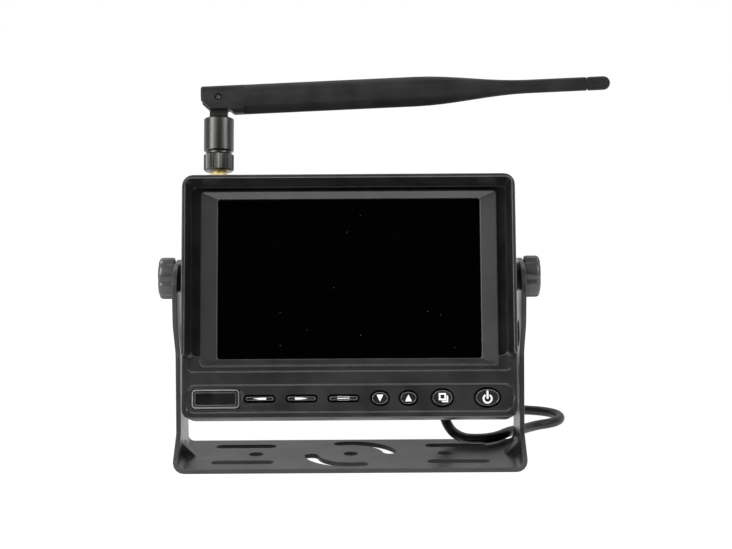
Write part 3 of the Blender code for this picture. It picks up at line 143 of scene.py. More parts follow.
# Put-away coil of the lead, from the middle of the foot
COIL_PLACE = (0.030, 0.105)
COIL_MIDDLE = 0.049
COIL_TURNS = 2.5
COIL_CLIMB = 0.5
COIL_POINTS = 24         # in a turn of the solids
COIL_FINER = 3           # points drawn for each of them
COIL_FLOOR = 0.00325
TURN_PITCH = 0.005
TIE_EDGE = 0.0001

# Plug, along its axis from the lead: ribbed relief, grip, neck, collar and pins
RELIEF_RADIUS = 0.0032
RELIEF_END = 0.0100
RELIEF_SHOULDER = 0.72   # share of the grip's radius
RELIEF_RIBS = 5
RIB_START = 0.0009
RIB_PITCH = 0.0015
RIB_GROWTH = 0.00032     # from rib to rib
RIB_RISE = 0.0006
RIB_SLOPE = 0.0003
GRIP_FOOT = (0.0135, 0.0143)     # both ends of the rounding
GRIP_HEAD = (0.0285, 0.0293)
GRIP_ROUND = (0.0006, 0.0005)    # how far each rounding goes in
NECK_SHARE = 0.80        # of the grip's radius
NECK = (0.0296, 0.0302)
COLLAR_START = 0.0304
COLLAR_RADIUS = 0.0054
COLLAR_EDGE = (0.0004, 0.0006)
COLLAR_BORE = 0.0042
COLLAR_DEPTH = 0.006
CONTACTS = 4
CONTACT_DIAMETER = 0.001
CONTACT_LENGTH = 0.005
CONTACT_CIRCLE = 0.0018
CONTACT_SUNK = 0.0001

# Strain relief, from the case; a rib's points are depths under the taper and shares of its pitch
GLAND_FOOT = 0.00475
GLAND_TIP = 0.0031
GLAND_FLANGE = 0.0013
GLAND_EDGE = 0.0003
GLAND_RIBS_FROM = 0.0020
GLAND_PLAIN_END = 0.0006
GLAND_ROUND = 0.0004
GLAND_RIB = ((0.0007, 0.0), (0.0007, 0.35), (0.0002, 0.45), (0.0003, 0.95))

# Foot of the bracket: rows of holes, and half size of the part that holds them
FOOT_ROWS = (-0.0128, 0.0, 0.0128)
SLOT_FIELD = (0.058, 0.021)
SLOT_WALL = 0.8          # faces that point up or down less than this are cut walls
SHEET = 0.002

# Groove round the sloped frame, from the pivot and behind the border
GROOVE_SIDE = 0.0612
GROOVE_TOP = 0.0337
GROOVE_RIM = 0.0012
GROOVE_DEPTH = 0.0031

# Band of the slots that take the visor's tabs, from the pivot
SLOT_SIDE = (0.0657, 0.0684)
SLOT_TOP = (0.0362, 0.0390)

# Room between the case's pieces in the CAD, and how much of it their seams close
SEAM = 0.0003
SEAM_REACH = 0.97 * SEAM

# Edges of the sloped frame, from the pivot, and how far its faces point out of the case
FRAME_SIDE = 0.0625
FRAME_LOW = -0.0398
FRAME_HIGH = 0.0346
FRAME_RIM_EDGE = 0.00013
FRAME_FACING = 0.6

# Screen
SCREEN_CORNER = 0.0008
SCREEN_EDGE = 0.0002
SCREEN_CREASE = radians(60)
DUST_COLOUR = (0.05, 0.05, 0.05, 1)

# Keys, from their tops down, and the holes that they stand in
KEY_DEPTH = 0.0034
KEY_EDGE = 0.00018
KEY_CREASE = radians(10)
KEY_FLANGE = 0.00115
FLANGE_THICK = 0.001
FLANGE_LIFT = 0.0007
STEM_DIAMETER = 0.0026
STEM_LENGTH = 0.0017
KEY_HOLE_WALL = 0.5      # faces that point along the case's depth less than this are walls
KEY_ROW_MARGIN = 0.001

# Signs on the keys: length and half width of the arrows, width and height of the bars
LONG_ARROW = (0.0054, 0.0008)
SMALL_ARROW = (0.0028, 0.0014)
ARROW_CORNER = 0.00018
BAR = (0.0050, 0.00034)
BAR_CORNER = 0.0001
BAR_PITCH = 0.00066
WINDOW_COLUMNS = (-0.00150, -0.00080, -0.00020, 0.00080, 0.00150, 0.00170, 0.00235)
WINDOW_ROWS = (-0.00185, -0.00125, -0.00105, -0.00035, 0.00086, 0.00120, 0.00190)
WINDOW_CELLS = ("  ####", "     #", "#### #", "#  # #", "#  #  ", "####  ")
RING = (0.00130, 0.00205)
RING_GAP = radians(30)
RING_STEPS = 36
RING_BAR = (0.00080, 0.0034)
RING_BAR_CORNER = 0.0003
RING_BAR_LIFT = 0.0016
RING_DROP = 0.0005
SIGN_SUNK = 0.5          # share of a sign's thickness that sits in the key

# Bare badge plate
BADGE_CORNER = 0.0016
BADGE_RIM = 0.0005
BADGE_SLOPE = 0.0009
BADGE_CROWN = 0.0004
BADGE_EDGE = 0.0001

# Clamp knobs: notches between lobes as shares, and steps of the dome below its end with their scales
KNOB_POINTS = 96
KNOB_LAND = 0.35
KNOB_NOTCH = 0.12
KNOB_FOOT = 0.95
KNOB_CHAMFER = 0.0006
KNOB_DOME = ((0.0022, 1.0), (0.0012, 0.985), (0.0006, 0.93), (0.0002, 0.82), (0.0, 0.60))

# Aerial's nut and swivel: radii of the swivel from its stem up, and heights
NUT_EDGE = 0.00005
SWIVEL_STEM = 0.0020
SWIVEL_FLANGE = 0.0042
SWIVEL_NECK = 0.0034
SWIVEL_GROOVE = 0.0054
SWIVEL_CROWN = 0.0043
SWIVEL_FLANGE_THICK = 0.002
SWIVEL_FLANGE_DROP = 0.0015
SWIVEL_GROOVE_HEIGHT = 0.0008
SWIVEL_STEP = 0.0002
SWIVEL_EDGE = 0.0003
SWIVEL_CONE = 0.0009
PIN_OVER_CROWN = 0.0079
TONGUE_HALF = 0.00385
TONGUE_THICK = 0.004
TONGUE_ROOT = 0.004

# Aerial's paddle, from its pin: slices in half its height, and how its knuckle is eased
PADDLE_EDGE = 0.0002
PADDLE_SLICES = 4
PADDLE_CROWN = 0.40
KNUCKLE = 0.0106
KNUCKLE_STEP = 0.0002
KNUCKLE_EASE = (0.96, 0.98)
TIP_SHARE = 0.9
TIP_CHAMFER = 0.0005
TIP_STEPS = 8

# Fold pin and the dimple in each of its ends
PIN_EDGE = 0.0003
DIMPLE_DEPTH = 0.0005
DIMPLE_LIP = 0.0001
DIMPLE_FLOOR = 0.0005
DIMPLE_RIM = 0.0008


class MonitorSizes(bpy.types.PropertyGroup):
    """Sizes that shape the dressed pieces."""

    case_edge: FloatProperty(name="Case edge", description="Radius of the moulded edges",
                             default=0.00035, min=0.0001, max=0.0008, unit="LENGTH")
    sheet_edge: FloatProperty(name="Sheet edge", description="Radius of the coated sheet's edges",
                              default=0.0003, min=0.0001, max=0.0008, unit="LENGTH")
    key_gap: FloatProperty(name="Key gap", description="Extra gap round each key",
                           default=0.0006, min=0.0, max=0.001, unit="LENGTH")
    key_rim: FloatProperty(name="Key rim", description="Width of the raised rim of each key",
                           default=0.00038, min=0.0002, max=0.0012, unit="LENGTH")
    key_dish: FloatProperty(name="Key dish", description="Depth of the hollow inside the rim",
                            default=0.00034, min=0.0, max=0.0005, unit="LENGTH")
    sign_thick: FloatProperty(name="Sign thickness", description="Height of the printed signs",
                              default=0.00006, min=0.00002, max=0.0002, unit="LENGTH")
    knob_lobes: IntProperty(name="Knob lobes", description="Grip lobes round a clamp knob",
                            default=6, min=3, max=12)
    gland_ribs: IntProperty(name="Gland ribs", description="Ribs on the strain relief",
                            default=4, min=2, max=8)


class MonitorColours(bpy.types.PropertyGroup):
    """Colours of the finishes."""

    case: FloatVectorProperty(name="Case", description="Moulded case", subtype="COLOR",
                              default=(0.0092, 0.0092, 0.0095), min=0, max=1)
    frame: FloatVectorProperty(name="Frame", description="Sloped frame round the screen",
                               subtype="COLOR", default=(0.017, 0.017, 0.0174), min=0, max=1)
    # its darker colour paints shade into the groove, the key holes and behind the keys
    groove: FloatVectorProperty(name="Groove", description="Matte groove and key holes",
                                subtype="COLOR", default=(0.005, 0.005, 0.005), min=0, max=1)
    knob: FloatVectorProperty(name="Knobs", description="Plastic of the clamp knobs", subtype="COLOR",
                              default=(0.030, 0.030, 0.031), min=0, max=1)
    coat: FloatVectorProperty(name="Coat", description="Powder coat of the bracket",
                              subtype="COLOR", default=(0.030, 0.030, 0.031), min=0, max=1)
    rubber: FloatVectorProperty(name="Rubber", description="Lead, washers and strain relief",
                                subtype="COLOR", default=(0.009, 0.009, 0.009), min=0, max=1)
    key: FloatVectorProperty(name="Keys", description="Rubber of the keys", subtype="COLOR",
                             default=(0.008, 0.008, 0.008), min=0, max=1)
    aerial: FloatVectorProperty(name="Aerial", description="Sheath of the aerial",
                                subtype="COLOR", default=(0.015, 0.015, 0.0153), min=0, max=1)
    plated: FloatVectorProperty(name="Dark plate", description="Dark plated swivel and nut",
                                subtype="COLOR", default=(0.13, 0.13, 0.123), min=0, max=1)
    gold: FloatVectorProperty(name="Gold", description="Gold plated jack", subtype="COLOR",
                              default=(1.0, 0.78, 0.36), min=0, max=1)
    sign: FloatVectorProperty(name="Signs", description="Printed signs on the keys",
                              subtype="COLOR", default=(0.85, 0.85, 0.84), min=0, max=1)


# Finishes: a user's colour by name or a fixed one, range of roughness, and what else isn't plain
# In the values, the paler colour of rounded faces and its share paint a highlight on them
FINISHES = {
    "moulded_case": ("case", (0.30, 0.38), dict(edge_highlight=0.12, highlight_share=0.8, specular=1.0)),
    "frame_plastic": ("frame", (0.20, 0.26), dict(bump=0.07, edge_highlight=0.12, highlight_share=0.8, specular=1.0)),
    "knob_plastic": ("knob", (0.34, 0.44), dict(grain=1800.0, bump=0.14, edge_highlight=0.12, highlight_share=0.8,
                                                specular=1.0)),
    "powder_coat": ("coat", (0.27, 0.36), dict(grain=1500.0, depth=0.00005, edge_highlight=0.12)),
    "cut_coat": ("coat", (0.50, 0.62), dict(grain=1500.0, bump=0.2, specular=0.3)),
    # matte finish whose darker colour is painted shade in the groove and the key holes
    "matte_painted_shade": ("groove", (0.62, 0.72), dict(grain=1800.0, bump=0.25, edge_highlight=0.02,
                                                  specular=0.25)),
    "black_rubber": ("rubber", (0.50, 0.62), dict(grain=3000.0, bump=0.08, edge_highlight=0.02)),
    "lead_jacket": ("rubber", (0.34, 0.46), dict(grain=1800.0, bump=0.08, edge_highlight=0.02)),
    "key_rubber": ("key", (0.22, 0.32), dict(grain=3200.0, bump=0.04, edge_highlight=0.40, highlight_share=1.0,
                                             specular=0.7)),
    "sign_print": ("sign", (0.45, 0.55), dict(grain=5000.0, bump=0.03, drift=0.02, edge_highlight=0.0,
                                              highlight_share=0.0)),
    "badge_gloss": ((0.006, 0.006, 0.0065), (0.08, 0.14), dict(grain=3000.0, bump=0.02, edge_highlight=0.20,
                                                               highlight_share=1.0)),
    "badge_rim": ((0.42, 0.42, 0.43), (0.34, 0.44), dict(metallic=0.8, grain=3000.0, bump=0.03)),
    "dark_glass": ((0.0003, 0.0003, 0.0004), (0.05, 0.08), dict(grain=900.0, bump=0.01, drift=0.0002,
                                                                edge_highlight=0.0, highlight_share=0.0, specular=0.04)),
    "aerial_sheath": ("aerial", (0.36, 0.46), dict(grain=2600.0, bump=0.06, edge_highlight=0.03,
                                                   specular=0.12)),
    "dark_plate": ("plated", (0.30, 0.38), dict(metallic=1.0, grain=4200.0, bump=0.05, depth=0.00002,
                                                drift=0.03, edge_highlight=0.25)),
    "pin_steel": ((0.22, 0.22, 0.22), (0.40, 0.50), dict(metallic=1.0, grain=4200.0, bump=0.05,
                                                         depth=0.00002)),
    "zinc_steel": ((0.52, 0.52, 0.53), (0.28, 0.40), dict(metallic=1.0, grain=3800.0, bump=0.06,
                                                          depth=0.00002, drift=0.04, edge_highlight=0.1)),
    "gold_plate": ("gold", (0.32, 0.42), dict(metallic=0.5, grain=4000.0, bump=0.04, depth=0.00002,
                                              drift=0.05, edge_highlight=0.2)),
    "turned_brass": ((0.62, 0.44, 0.18), (0.28, 0.38), dict(metallic=1.0, grain=3600.0, bump=0.05)),
    "solder_mask": ((0.015, 0.10, 0.04), (0.35, 0.5), dict(grain=1600.0)),
    "panel_back": ((0.28, 0.28, 0.29), (0.32, 0.45), dict(grain=1500.0)),
}
SECOND = 1     # place of a piece's further finishes in its list
THIRD = 2


def wire(tree, source, output, target, socket):
    """Joins an output to an input, each given by its name or number."""
    tree.links.new(source.outputs[output], target.inputs[socket])


def add(tree, kind, values=None, **settings):
    """New shader node with socket values and settings."""
    made = tree.nodes.new(kind)
    for name, value in settings.items():
        setattr(made, name, value)
    for name, value in (values or {}).items():
        made.inputs[name].default_value = value
    return made


def group(name, takes, gives):
    """New node group with named sockets; returns its tree, input node and output node."""
    tree = bpy.data.node_groups.new(name, "ShaderNodeTree")
    for label, kind, default in takes:
        socket = tree.interface.new_socket(label, in_out="INPUT", socket_type=kind)
        socket.default_value = default
    for label, kind in gives:
        tree.interface.new_socket(label, in_out="OUTPUT", socket_type=kind)
    return tree, tree.nodes.new("NodeGroupInput"), tree.nodes.new("NodeGroupOutput")


@cache
def moulded_grain():
    """Fine moulded or sprayed grain, as a height between 0 and 1."""
    tree, taken, given = group("moulded_grain", [("Scale", "NodeSocketFloat", 2400.0)],
                               [("Height", "NodeSocketFloat")])
    place = add(tree, "ShaderNodeTexCoord")
    pits = add(tree, "ShaderNodeTexVoronoi", {"Randomness": 1.0}, feature="SMOOTH_F1")
    noise = add(tree, "ShaderNodeTexNoise", {"Detail": 3.0, "Roughness": 0.6})
    both = add(tree, "ShaderNodeMath", operation="MULTIPLY")
    for texture in (pits, noise):
        wire(tree, place, "Object", texture, "Vector")
        wire(tree, taken, "Scale", texture, "Scale")
    wire(tree, pits, "Distance", both, 0)
    wire(tree, noise, "Fac", both, 1)
    wire(tree, both, "Value", given, "Height")
    return tree


@cache
def handled_gloss():
    """Roughness that drifts between two values as handling and moulding leave it."""
    tree, taken, given = group("handled_gloss", [
        ("Low", "NodeSocketFloat", 0.4), ("High", "NodeSocketFloat", 0.5),
        ("Scale", "NodeSocketFloat", 60.0)], [("Roughness", "NodeSocketFloat")])
    place = add(tree, "ShaderNodeTexCoord")
    noise = add(tree, "ShaderNodeTexNoise", {"Detail": 5.0, "Roughness": 0.65})
    spread = add(tree, "ShaderNodeMapRange", {"From Min": 0.32, "From Max": 0.68})
    wire(tree, place, "Object", noise, "Vector")
    wire(tree, taken, "Scale", noise, "Scale")
    wire(tree, noise, "Fac", spread, "Value")
    wire(tree, taken, "Low", spread, "To Min")
    wire(tree, taken, "High", spread, "To Max")
    wire(tree, spread, "Result", given, "Roughness")
    return tree


@cache
def edge_highlight_colour():
    """Colour that drifts a little, with a painted highlight that pales the rounded faces in patches."""
    tree, taken, given = group("edge_highlight_colour", [
        ("Colour", "NodeSocketColor", (0.03, 0.03, 0.03, 1)),
        ("Drift", "NodeSocketColor", (0.035, 0.035, 0.035, 1)),
        ("Highlight", "NodeSocketColor", (0.08, 0.08, 0.08, 1)),
        ("Scale", "NodeSocketFloat", 90.0), ("Highlight Share", "NodeSocketFloat", 0.4)],
        [("Colour", "NodeSocketColor")])
    place = add(tree, "ShaderNodeTexCoord")
    noise = add(tree, "ShaderNodeTexNoise", {"Detail": 4.0})
    spread = add(tree, "ShaderNodeMapRange", {"From Min": 0.35, "From Max": 0.65})
    drift = add(tree, "ShaderNodeMix", data_type="RGBA")
    # rounded faces that soften marks carry a painted highlight, broken into patches by the noise
    edge = add(tree, "ShaderNodeAttribute", attribute_name="edge")
    patch = add(tree, "ShaderNodeTexNoise", {"Scale": 420.0, "Detail": 3.0})
    highlight_mask = add(tree, "ShaderNodeMath", operation="MULTIPLY")
    amount = add(tree, "ShaderNodeMath", operation="MULTIPLY")
    mixed = add(tree, "ShaderNodeMix", data_type="RGBA")
    for texture in (noise, patch):
        wire(tree, place, "Object", texture, "Vector")
    wire(tree, taken, "Scale", noise, "Scale")
    wire(tree, noise, "Fac", spread, "Value")
    wire(tree, spread, "Result", drift, "Factor")
    wire(tree, taken, "Colour", drift, "A")
    wire(tree, taken, "Drift", drift, "B")
    wire(tree, edge, "Fac", highlight_mask, 0)
    wire(tree, patch, "Fac", highlight_mask, 1)
    wire(tree, highlight_mask, "Value", amount, 0)
    wire(tree, taken, "Highlight Share", amount, 1)
    wire(tree, amount, "Value", mixed, "Factor")
    wire(tree, drift, "Result", mixed, "A")
    wire(tree, taken, "Highlight", mixed, "B")
    wire(tree, mixed, "Result", given, "Colour")
    return tree


@cache
def dust_specks():
    """A few specks of dust on an upright sheet, as a mask."""
    tree, taken, given = group("dust_specks", [
        ("Scale", "NodeSocketFloat", 180.0), ("Size", "NodeSocketFloat", 0.035),
        ("Bare", "NodeSocketFloat", 0.95)], [("Mask", "NodeSocketFloat")])
    place = add(tree, "ShaderNodeTexCoord")
    upright = add(tree, "ShaderNodeMapping", {"Rotation": (pi / 2, 0, 0)})
    spots = add(tree, "ShaderNodeTexVoronoi", voronoi_dimensions="2D")
    parts = add(tree, "ShaderNodeSeparateColor")
    near = add(tree, "ShaderNodeMath", operation="LESS_THAN")
    chosen = add(tree, "ShaderNodeMath", operation="GREATER_THAN")
    both = add(tree, "ShaderNodeMath", operation="MULTIPLY")
    wire(tree, place, "Object", upright, "Vector")
    wire(tree, upright, "Vector", spots, "Vector")
    wire(tree, taken, "Scale", spots, "Scale")
    wire(tree, spots, "Color", parts, "Color")
    wire(tree, spots, "Distance", near, 0)
    wire(tree, taken, "Size", near, 1)
    wire(tree, parts, "Red", chosen, 0)
    wire(tree, taken, "Bare", chosen, 1)
    wire(tree, near, "Value", both, 0)
    wire(tree, chosen, "Value", both, 1)
    wire(tree, both, "Value", given, "Mask")
    return tree


def paler(colour, share):
    """A colour moved towards white by a share."""
    return tuple(channel + (1.0 - channel) * share for channel in colour)


def coated(name, colour, rough, metallic=0.0, grain=2400.0, bump=0.1, depth=0.00004, drift=0.01,
           edge_highlight=0.05, highlight_share=0.5, specular=0.5):
    """Principled material with drifting colour, a painted highlight on rounded faces, handled gloss and
    fine grain.
    """
    made = bpy.data.materials.new(name)
    made.use_nodes = True
    tree = made.node_tree
    shader = tree.nodes["Principled BSDF"]
    shader.inputs["Metallic"].default_value = metallic
    shader.inputs["Specular IOR Level"].default_value = specular
    paint = add(tree, "ShaderNodeGroup", node_tree=edge_highlight_colour())
    paint.inputs["Colour"].default_value = (*colour, 1)
    paint.inputs["Drift"].default_value = (*paler(colour, drift), 1)
    # the paler colour and its share paint a highlight on the rounded faces
    paint.inputs["Highlight"].default_value = (*paler(colour, edge_highlight), 1)
    paint.inputs["Highlight Share"].default_value = highlight_share
    gloss = add(tree, "ShaderNodeGroup", node_tree=handled_gloss())
    gloss.inputs["Low"].default_value, gloss.inputs["High"].default_value = rough
    skin = add(tree, "ShaderNodeGroup", node_tree=moulded_grain())
    skin.inputs["Scale"].default_value = grain
    height = add(tree, "ShaderNodeBump", {"Strength": bump, "Distance": depth})
    wire(tree, paint, "Colour", shader, "Base Color")
    wire(tree, gloss, "Roughness", shader, "Roughness")
    wire(tree, skin, "Height", height, "Height")
    wire(tree, height, "Normal", shader, "Normal")
    return made


@cache
def finish(name):
    """Finish from the table, made once."""
    colour, rough, values = FINISHES[name]
    if isinstance(colour, str):
        colour = getattr(bpy.context.scene.monitor_colours, colour)
    return coated(name, colour, rough, **values)


# Shapes

def local_box(node, matrix):
    """Lowest and highest corner of a CAD node in another set of axes."""
    turn = matrix.inverted()
    points = [turn @ vert.co for vert in frame["nodes"][node].data.vertices]
    return (Vector([min(point[i] for point in points) for i in range(3)]),
            Vector([max(point[i] for point in points) for i in range(3)]))


@cache
def case_box(node):
    """Lowest and highest corner of a CAD node in the case's axes."""
    return local_box(node, CASE)


def case_points(part):
    """Corners of an edge or a face in the case's axes."""
    return [INTO_CASE @ vert.co for vert in part.verts]


def looking_out(middle, depth):
    """Place of a flat drawing that looks out of the case, round a middle and at a depth."""
    return CASE @ Matrix.Translation((middle.x, depth, middle.z)) @ FACING


def new_piece(name, shape, looks, body, node=None):
    """Object made of a bmesh in world place, riding on a body and standing for a CAD node."""
    mesh = bpy.data.meshes.new(name)
    shape.to_mesh(mesh)
    shape.free()
    for look in looks:
        mesh.materials.append(finish(look))
    mesh.shade_smooth()
    mesh.set_sharp_from_angle(angle=SMOOTH)
    made = bpy.data.objects.new(name, mesh)
    bpy.context.scene.collection.objects.link(made)
    even = made.modifiers.new("even_normals", "WEIGHTED_NORMAL")
    even.keep_sharp = True
    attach(made, body)
    if node:
        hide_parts(node)
    return made


def sharp_edges(shape, angle=SHARP):
    """Edges whose faces meet at more than an angle."""
    return [edge for edge in shape.edges if edge.is_manifold and edge.calc_face_angle(0.0) > angle]


def soften(shape, edges, width, segments=3, clamp=True):
    """Rounds edges and marks the rounded faces, so that finishes can paint a highlight on them."""
    mark = shape.loops.layers.color.get("edge")
    if mark is None:
        mark = shape.loops.layers.color.new("edge")
        for face in shape.faces:
            for loop in face.loops:
                loop[mark] = (0, 0, 0, 1)
    made = bmesh.ops.bevel(shape, geom=list(edges), offset=width, offset_type="OFFSET",
                           segments=segments, profile=0.5, affect="EDGES", clamp_overlap=clamp,
                           material=-1)
    for face in made["faces"]:
        for loop in face.loops:
            loop[mark] = WHITE


def sliced(shape, place, normal):
    """Cuts the faces of a shape along a plane."""
    bmesh.ops.bisect_plane(shape, geom=shape.verts[:] + shape.edges[:] + shape.faces[:], dist=MERGE,
                           plane_co=place, plane_no=normal)


def dressed(node, width, segments=3, cuts=(), left_sharp=None, thin=None, thin_width=0.0, seam=None):
    """Copy of a CAD node with its doubles merged, its flat faces joined and its edges rounded.

    Flat faces with holes are first cut along planes, given as a matrix and its axis, because a face
    can't go round a hole. Edges of a thin rim get a width of their own. A seam is a level in the case
    and how far its points move along the case's depth to meet the next piece."""
    shape = bmesh.new()
    shape.from_mesh(frame["nodes"][node].data)
    bmesh.ops.remove_doubles(shape, verts=shape.verts, dist=MERGE)
    if seam:
        level, reach = seam
        meeting = [vert for vert in shape.verts if abs((INTO_CASE @ vert.co).y - level) < 2 * MERGE]
        bmesh.ops.translate(shape, vec=CASE_DEPTH * reach, verts=meeting)
    bmesh.ops.dissolve_limit(shape, angle_limit=FLAT, verts=shape.verts, edges=shape.edges)
    for matrix, axis in cuts:
        sliced(shape, matrix.translation, matrix.col[axis].to_3d())
    edges = sharp_edges(shape)
    if left_sharp:
        edges = [edge for edge in edges if not left_sharp(edge)]
    if thin:
        rims = [edge for edge in edges if thin(edge)]
        others = set(edges) - set(rims)
        soften(shape, rims, thin_width, segments, clamp=False)
        edges = [edge for edge in edges if edge.is_valid and edge in others]
    soften(shape, edges, width, segments, clamp=False)
    bmesh.ops.connect_verts_concave(shape, faces=shape.faces[:])
    return shape


def moved(shape, matrix):
    """The shape, put in its place."""
    bmesh.ops.transform(shape, matrix=matrix, verts=shape.verts)
    bmesh.ops.recalc_face_normals(shape, faces=shape.faces)
    return shape


def shifted(shape, x, y, z):
    """The shape, moved along the axes."""
    bmesh.ops.translate(shape, vec=(x, y, z), verts=shape.verts)
    return shape


def spun(profile, steps):
    """Solid of (radius, height) points turned about Z; ends on the axis are closed."""
    shape = bmesh.new()
    verts = [shape.verts.new((radius, 0, height)) for radius, height in profile]
    edges = [shape.edges.new(pair) for pair in zip(verts, verts[1:])]
    bmesh.ops.spin(shape, geom=verts + edges, cent=(0, 0, 0), axis=(0, 0, 1), angle=2 * pi,
                   steps=steps, use_merge=True)
    bmesh.ops.remove_doubles(shape, verts=shape.verts, dist=MERGE)
    bmesh.ops.recalc_face_normals(shape, faces=shape.faces)
    return shape


def disc(width, height, pill=False, segments=48):
    """Flat oval, or a pill with straight sides, in the XY plane."""
    shape = bmesh.new()
    bmesh.ops.create_circle(shape, cap_ends=True, radius=0.5, segments=segments)
    if pill:
        bmesh.ops.scale(shape, vec=(height, height, 1), verts=shape.verts)
        for way in (-1, 1):
            end = [vert for vert in shape.verts if vert.co.x * way > MERGE]
            bmesh.ops.translate(shape, vec=(way * (width - height) / 2, 0, 0), verts=end)
    else:
        bmesh.ops.scale(shape, vec=(width, height, 1), verts=shape.verts)
    return shape


def round_corners(shape, corner, segments=3):
    """The flat shape, with its corners rounded."""
    bmesh.ops.bevel(shape, geom=shape.verts[:], offset=corner, offset_type="OFFSET", segments=segments,
                    profile=0.5, affect="VERTICES", material=-1)
    return shape


def plate(width, height, corner, segments=3):
    """Flat rectangle in the XY plane with rounded corners."""
    shape = bmesh.new()
    bmesh.ops.create_grid(shape, x_segments=1, y_segments=1, size=0.5)
    bmesh.ops.scale(shape, vec=(width, height, 1), verts=shape.verts)
    return round_corners(shape, corner, segments)


def raised(shape, height):
    """Flat shape pushed up into a closed one."""
    top = bmesh.ops.extrude_face_region(shape, geom=shape.faces[:])["geom"]
    verts = [part for part in top if isinstance(part, bmesh.types.BMVert)]
    bmesh.ops.translate(shape, vec=(0, 0, height), verts=verts)
    bmesh.ops.recalc_face_normals(shape, faces=shape.faces)
    return shape


def top_face(shape):
    """Face that lies highest."""
    return max(shape.faces, key=lambda face: face.calc_center_median().z)


def stacked(shape, levels):
    """Flat face pushed up through (height, scale) levels, scaled about the Z axis."""
    shape.faces.ensure_lookup_table()
    foot = face = shape.faces[0]
    scale = 1.0
    for height, wanted in levels:
        grown = bmesh.ops.extrude_face_region(shape, geom=[face])["geom"]
        if face is not foot:
            bmesh.ops.delete(shape, geom=[face], context="FACES_ONLY")
        face = [part for part in grown if isinstance(part, bmesh.types.BMFace)][0]
        bmesh.ops.translate(shape, vec=(0, 0, height - face.verts[0].co.z), verts=face.verts)
        bmesh.ops.scale(shape, vec=(wanted / scale, wanted / scale, 1), verts=face.verts)
        scale = wanted
    bmesh.ops.recalc_face_normals(shape, faces=shape.faces)
    return shape


def cells(columns, rows, drawn):
    """Flat shape of the drawn cells of a grid, with its rows listed from low to high."""
    shape = bmesh.new()
    wide, tall = len(columns) - 1, len(rows) - 1
    bmesh.ops.create_grid(shape, x_segments=wide, y_segments=tall, size=0.5)
    unused = []
    for face in shape.faces:
        middle = face.calc_center_median()
        if drawn[int((middle.y + 0.5) * tall)][int((middle.x + 0.5) * wide)] != "#":
            unused.append(face)
    for vert in shape.verts:
        vert.co = (columns[round((vert.co.x + 0.5) * wide)], rows[round((vert.co.y + 0.5) * tall)], 0)
    bmesh.ops.delete(shape, geom=unused, context="FACES")
    return shape


def together(shapes):
    """Several shapes as one bmesh."""
    whole = bmesh.new()
    for shape in shapes:
        mesh = bpy.data.meshes.new("part")
        shape.to_mesh(mesh)
        shape.free()
        whole.from_mesh(mesh)
        bpy.data.meshes.remove(mesh)
    return whole


def smooth_path(points, step):
    """Points spaced evenly on a smooth curve from the second given point to the last but one."""
    knots = [Vector(point) for point in points]
    fine = []
    for a, b, c, d in zip(knots, knots[1:], knots[2:], knots[3:]):
        for k in range(LEAD_FINE):
            t = k / LEAD_FINE
            fine.append(0.5 * (2 * b + (c - a) * t + (2 * a - 5 * b + 4 * c - d) * t ** 2
                               + (3 * b - a - 3 * c + d) * t ** 3))
    fine.append(knots[-2])
    length = sum((b - a).length for a, b in zip(fine, fine[1:]))
    count = ceil(length / step)
    picked = [fine[0]]
    walked = 0.0
    for a, b in zip(fine, fine[1:]):
        reach = (b - a).length
        while len(picked) < count and walked + reach >= length * len(picked) / count:
            picked.append(a.lerp(b, (length * len(picked) / count - walked) / reach))
        walked += reach
    return picked + [fine[-1]]


def coil_points(count):
    """Turns of the put-away lead: in on the floor layer, up, and out on the upper layer."""
    outside = COIL_MIDDLE / 2 + TURN_PITCH * COIL_TURNS / 2
    inmost = COIL_TURNS + COIL_CLIMB / 2
    points = []
    for k in range(int(2 * inmost * count) + 1):
        turns = k / count
        into = min(turns, inmost) - max(turns - inmost, 0.0)
        climb = min(max((turns - COIL_TURNS) / COIL_CLIMB, 0.0), 1.0)
        radius = outside - TURN_PITCH * into
        turn = -pi / 2 - 2 * pi * turns
        points.append(FOOT + Vector((COIL_PLACE[0] + radius * cos(turn),
                                     COIL_PLACE[1] + radius * sin(turn),
                                     COIL_FLOOR + TURN_PITCH * (1 - cos(pi * climb)) / 2)))
    return points


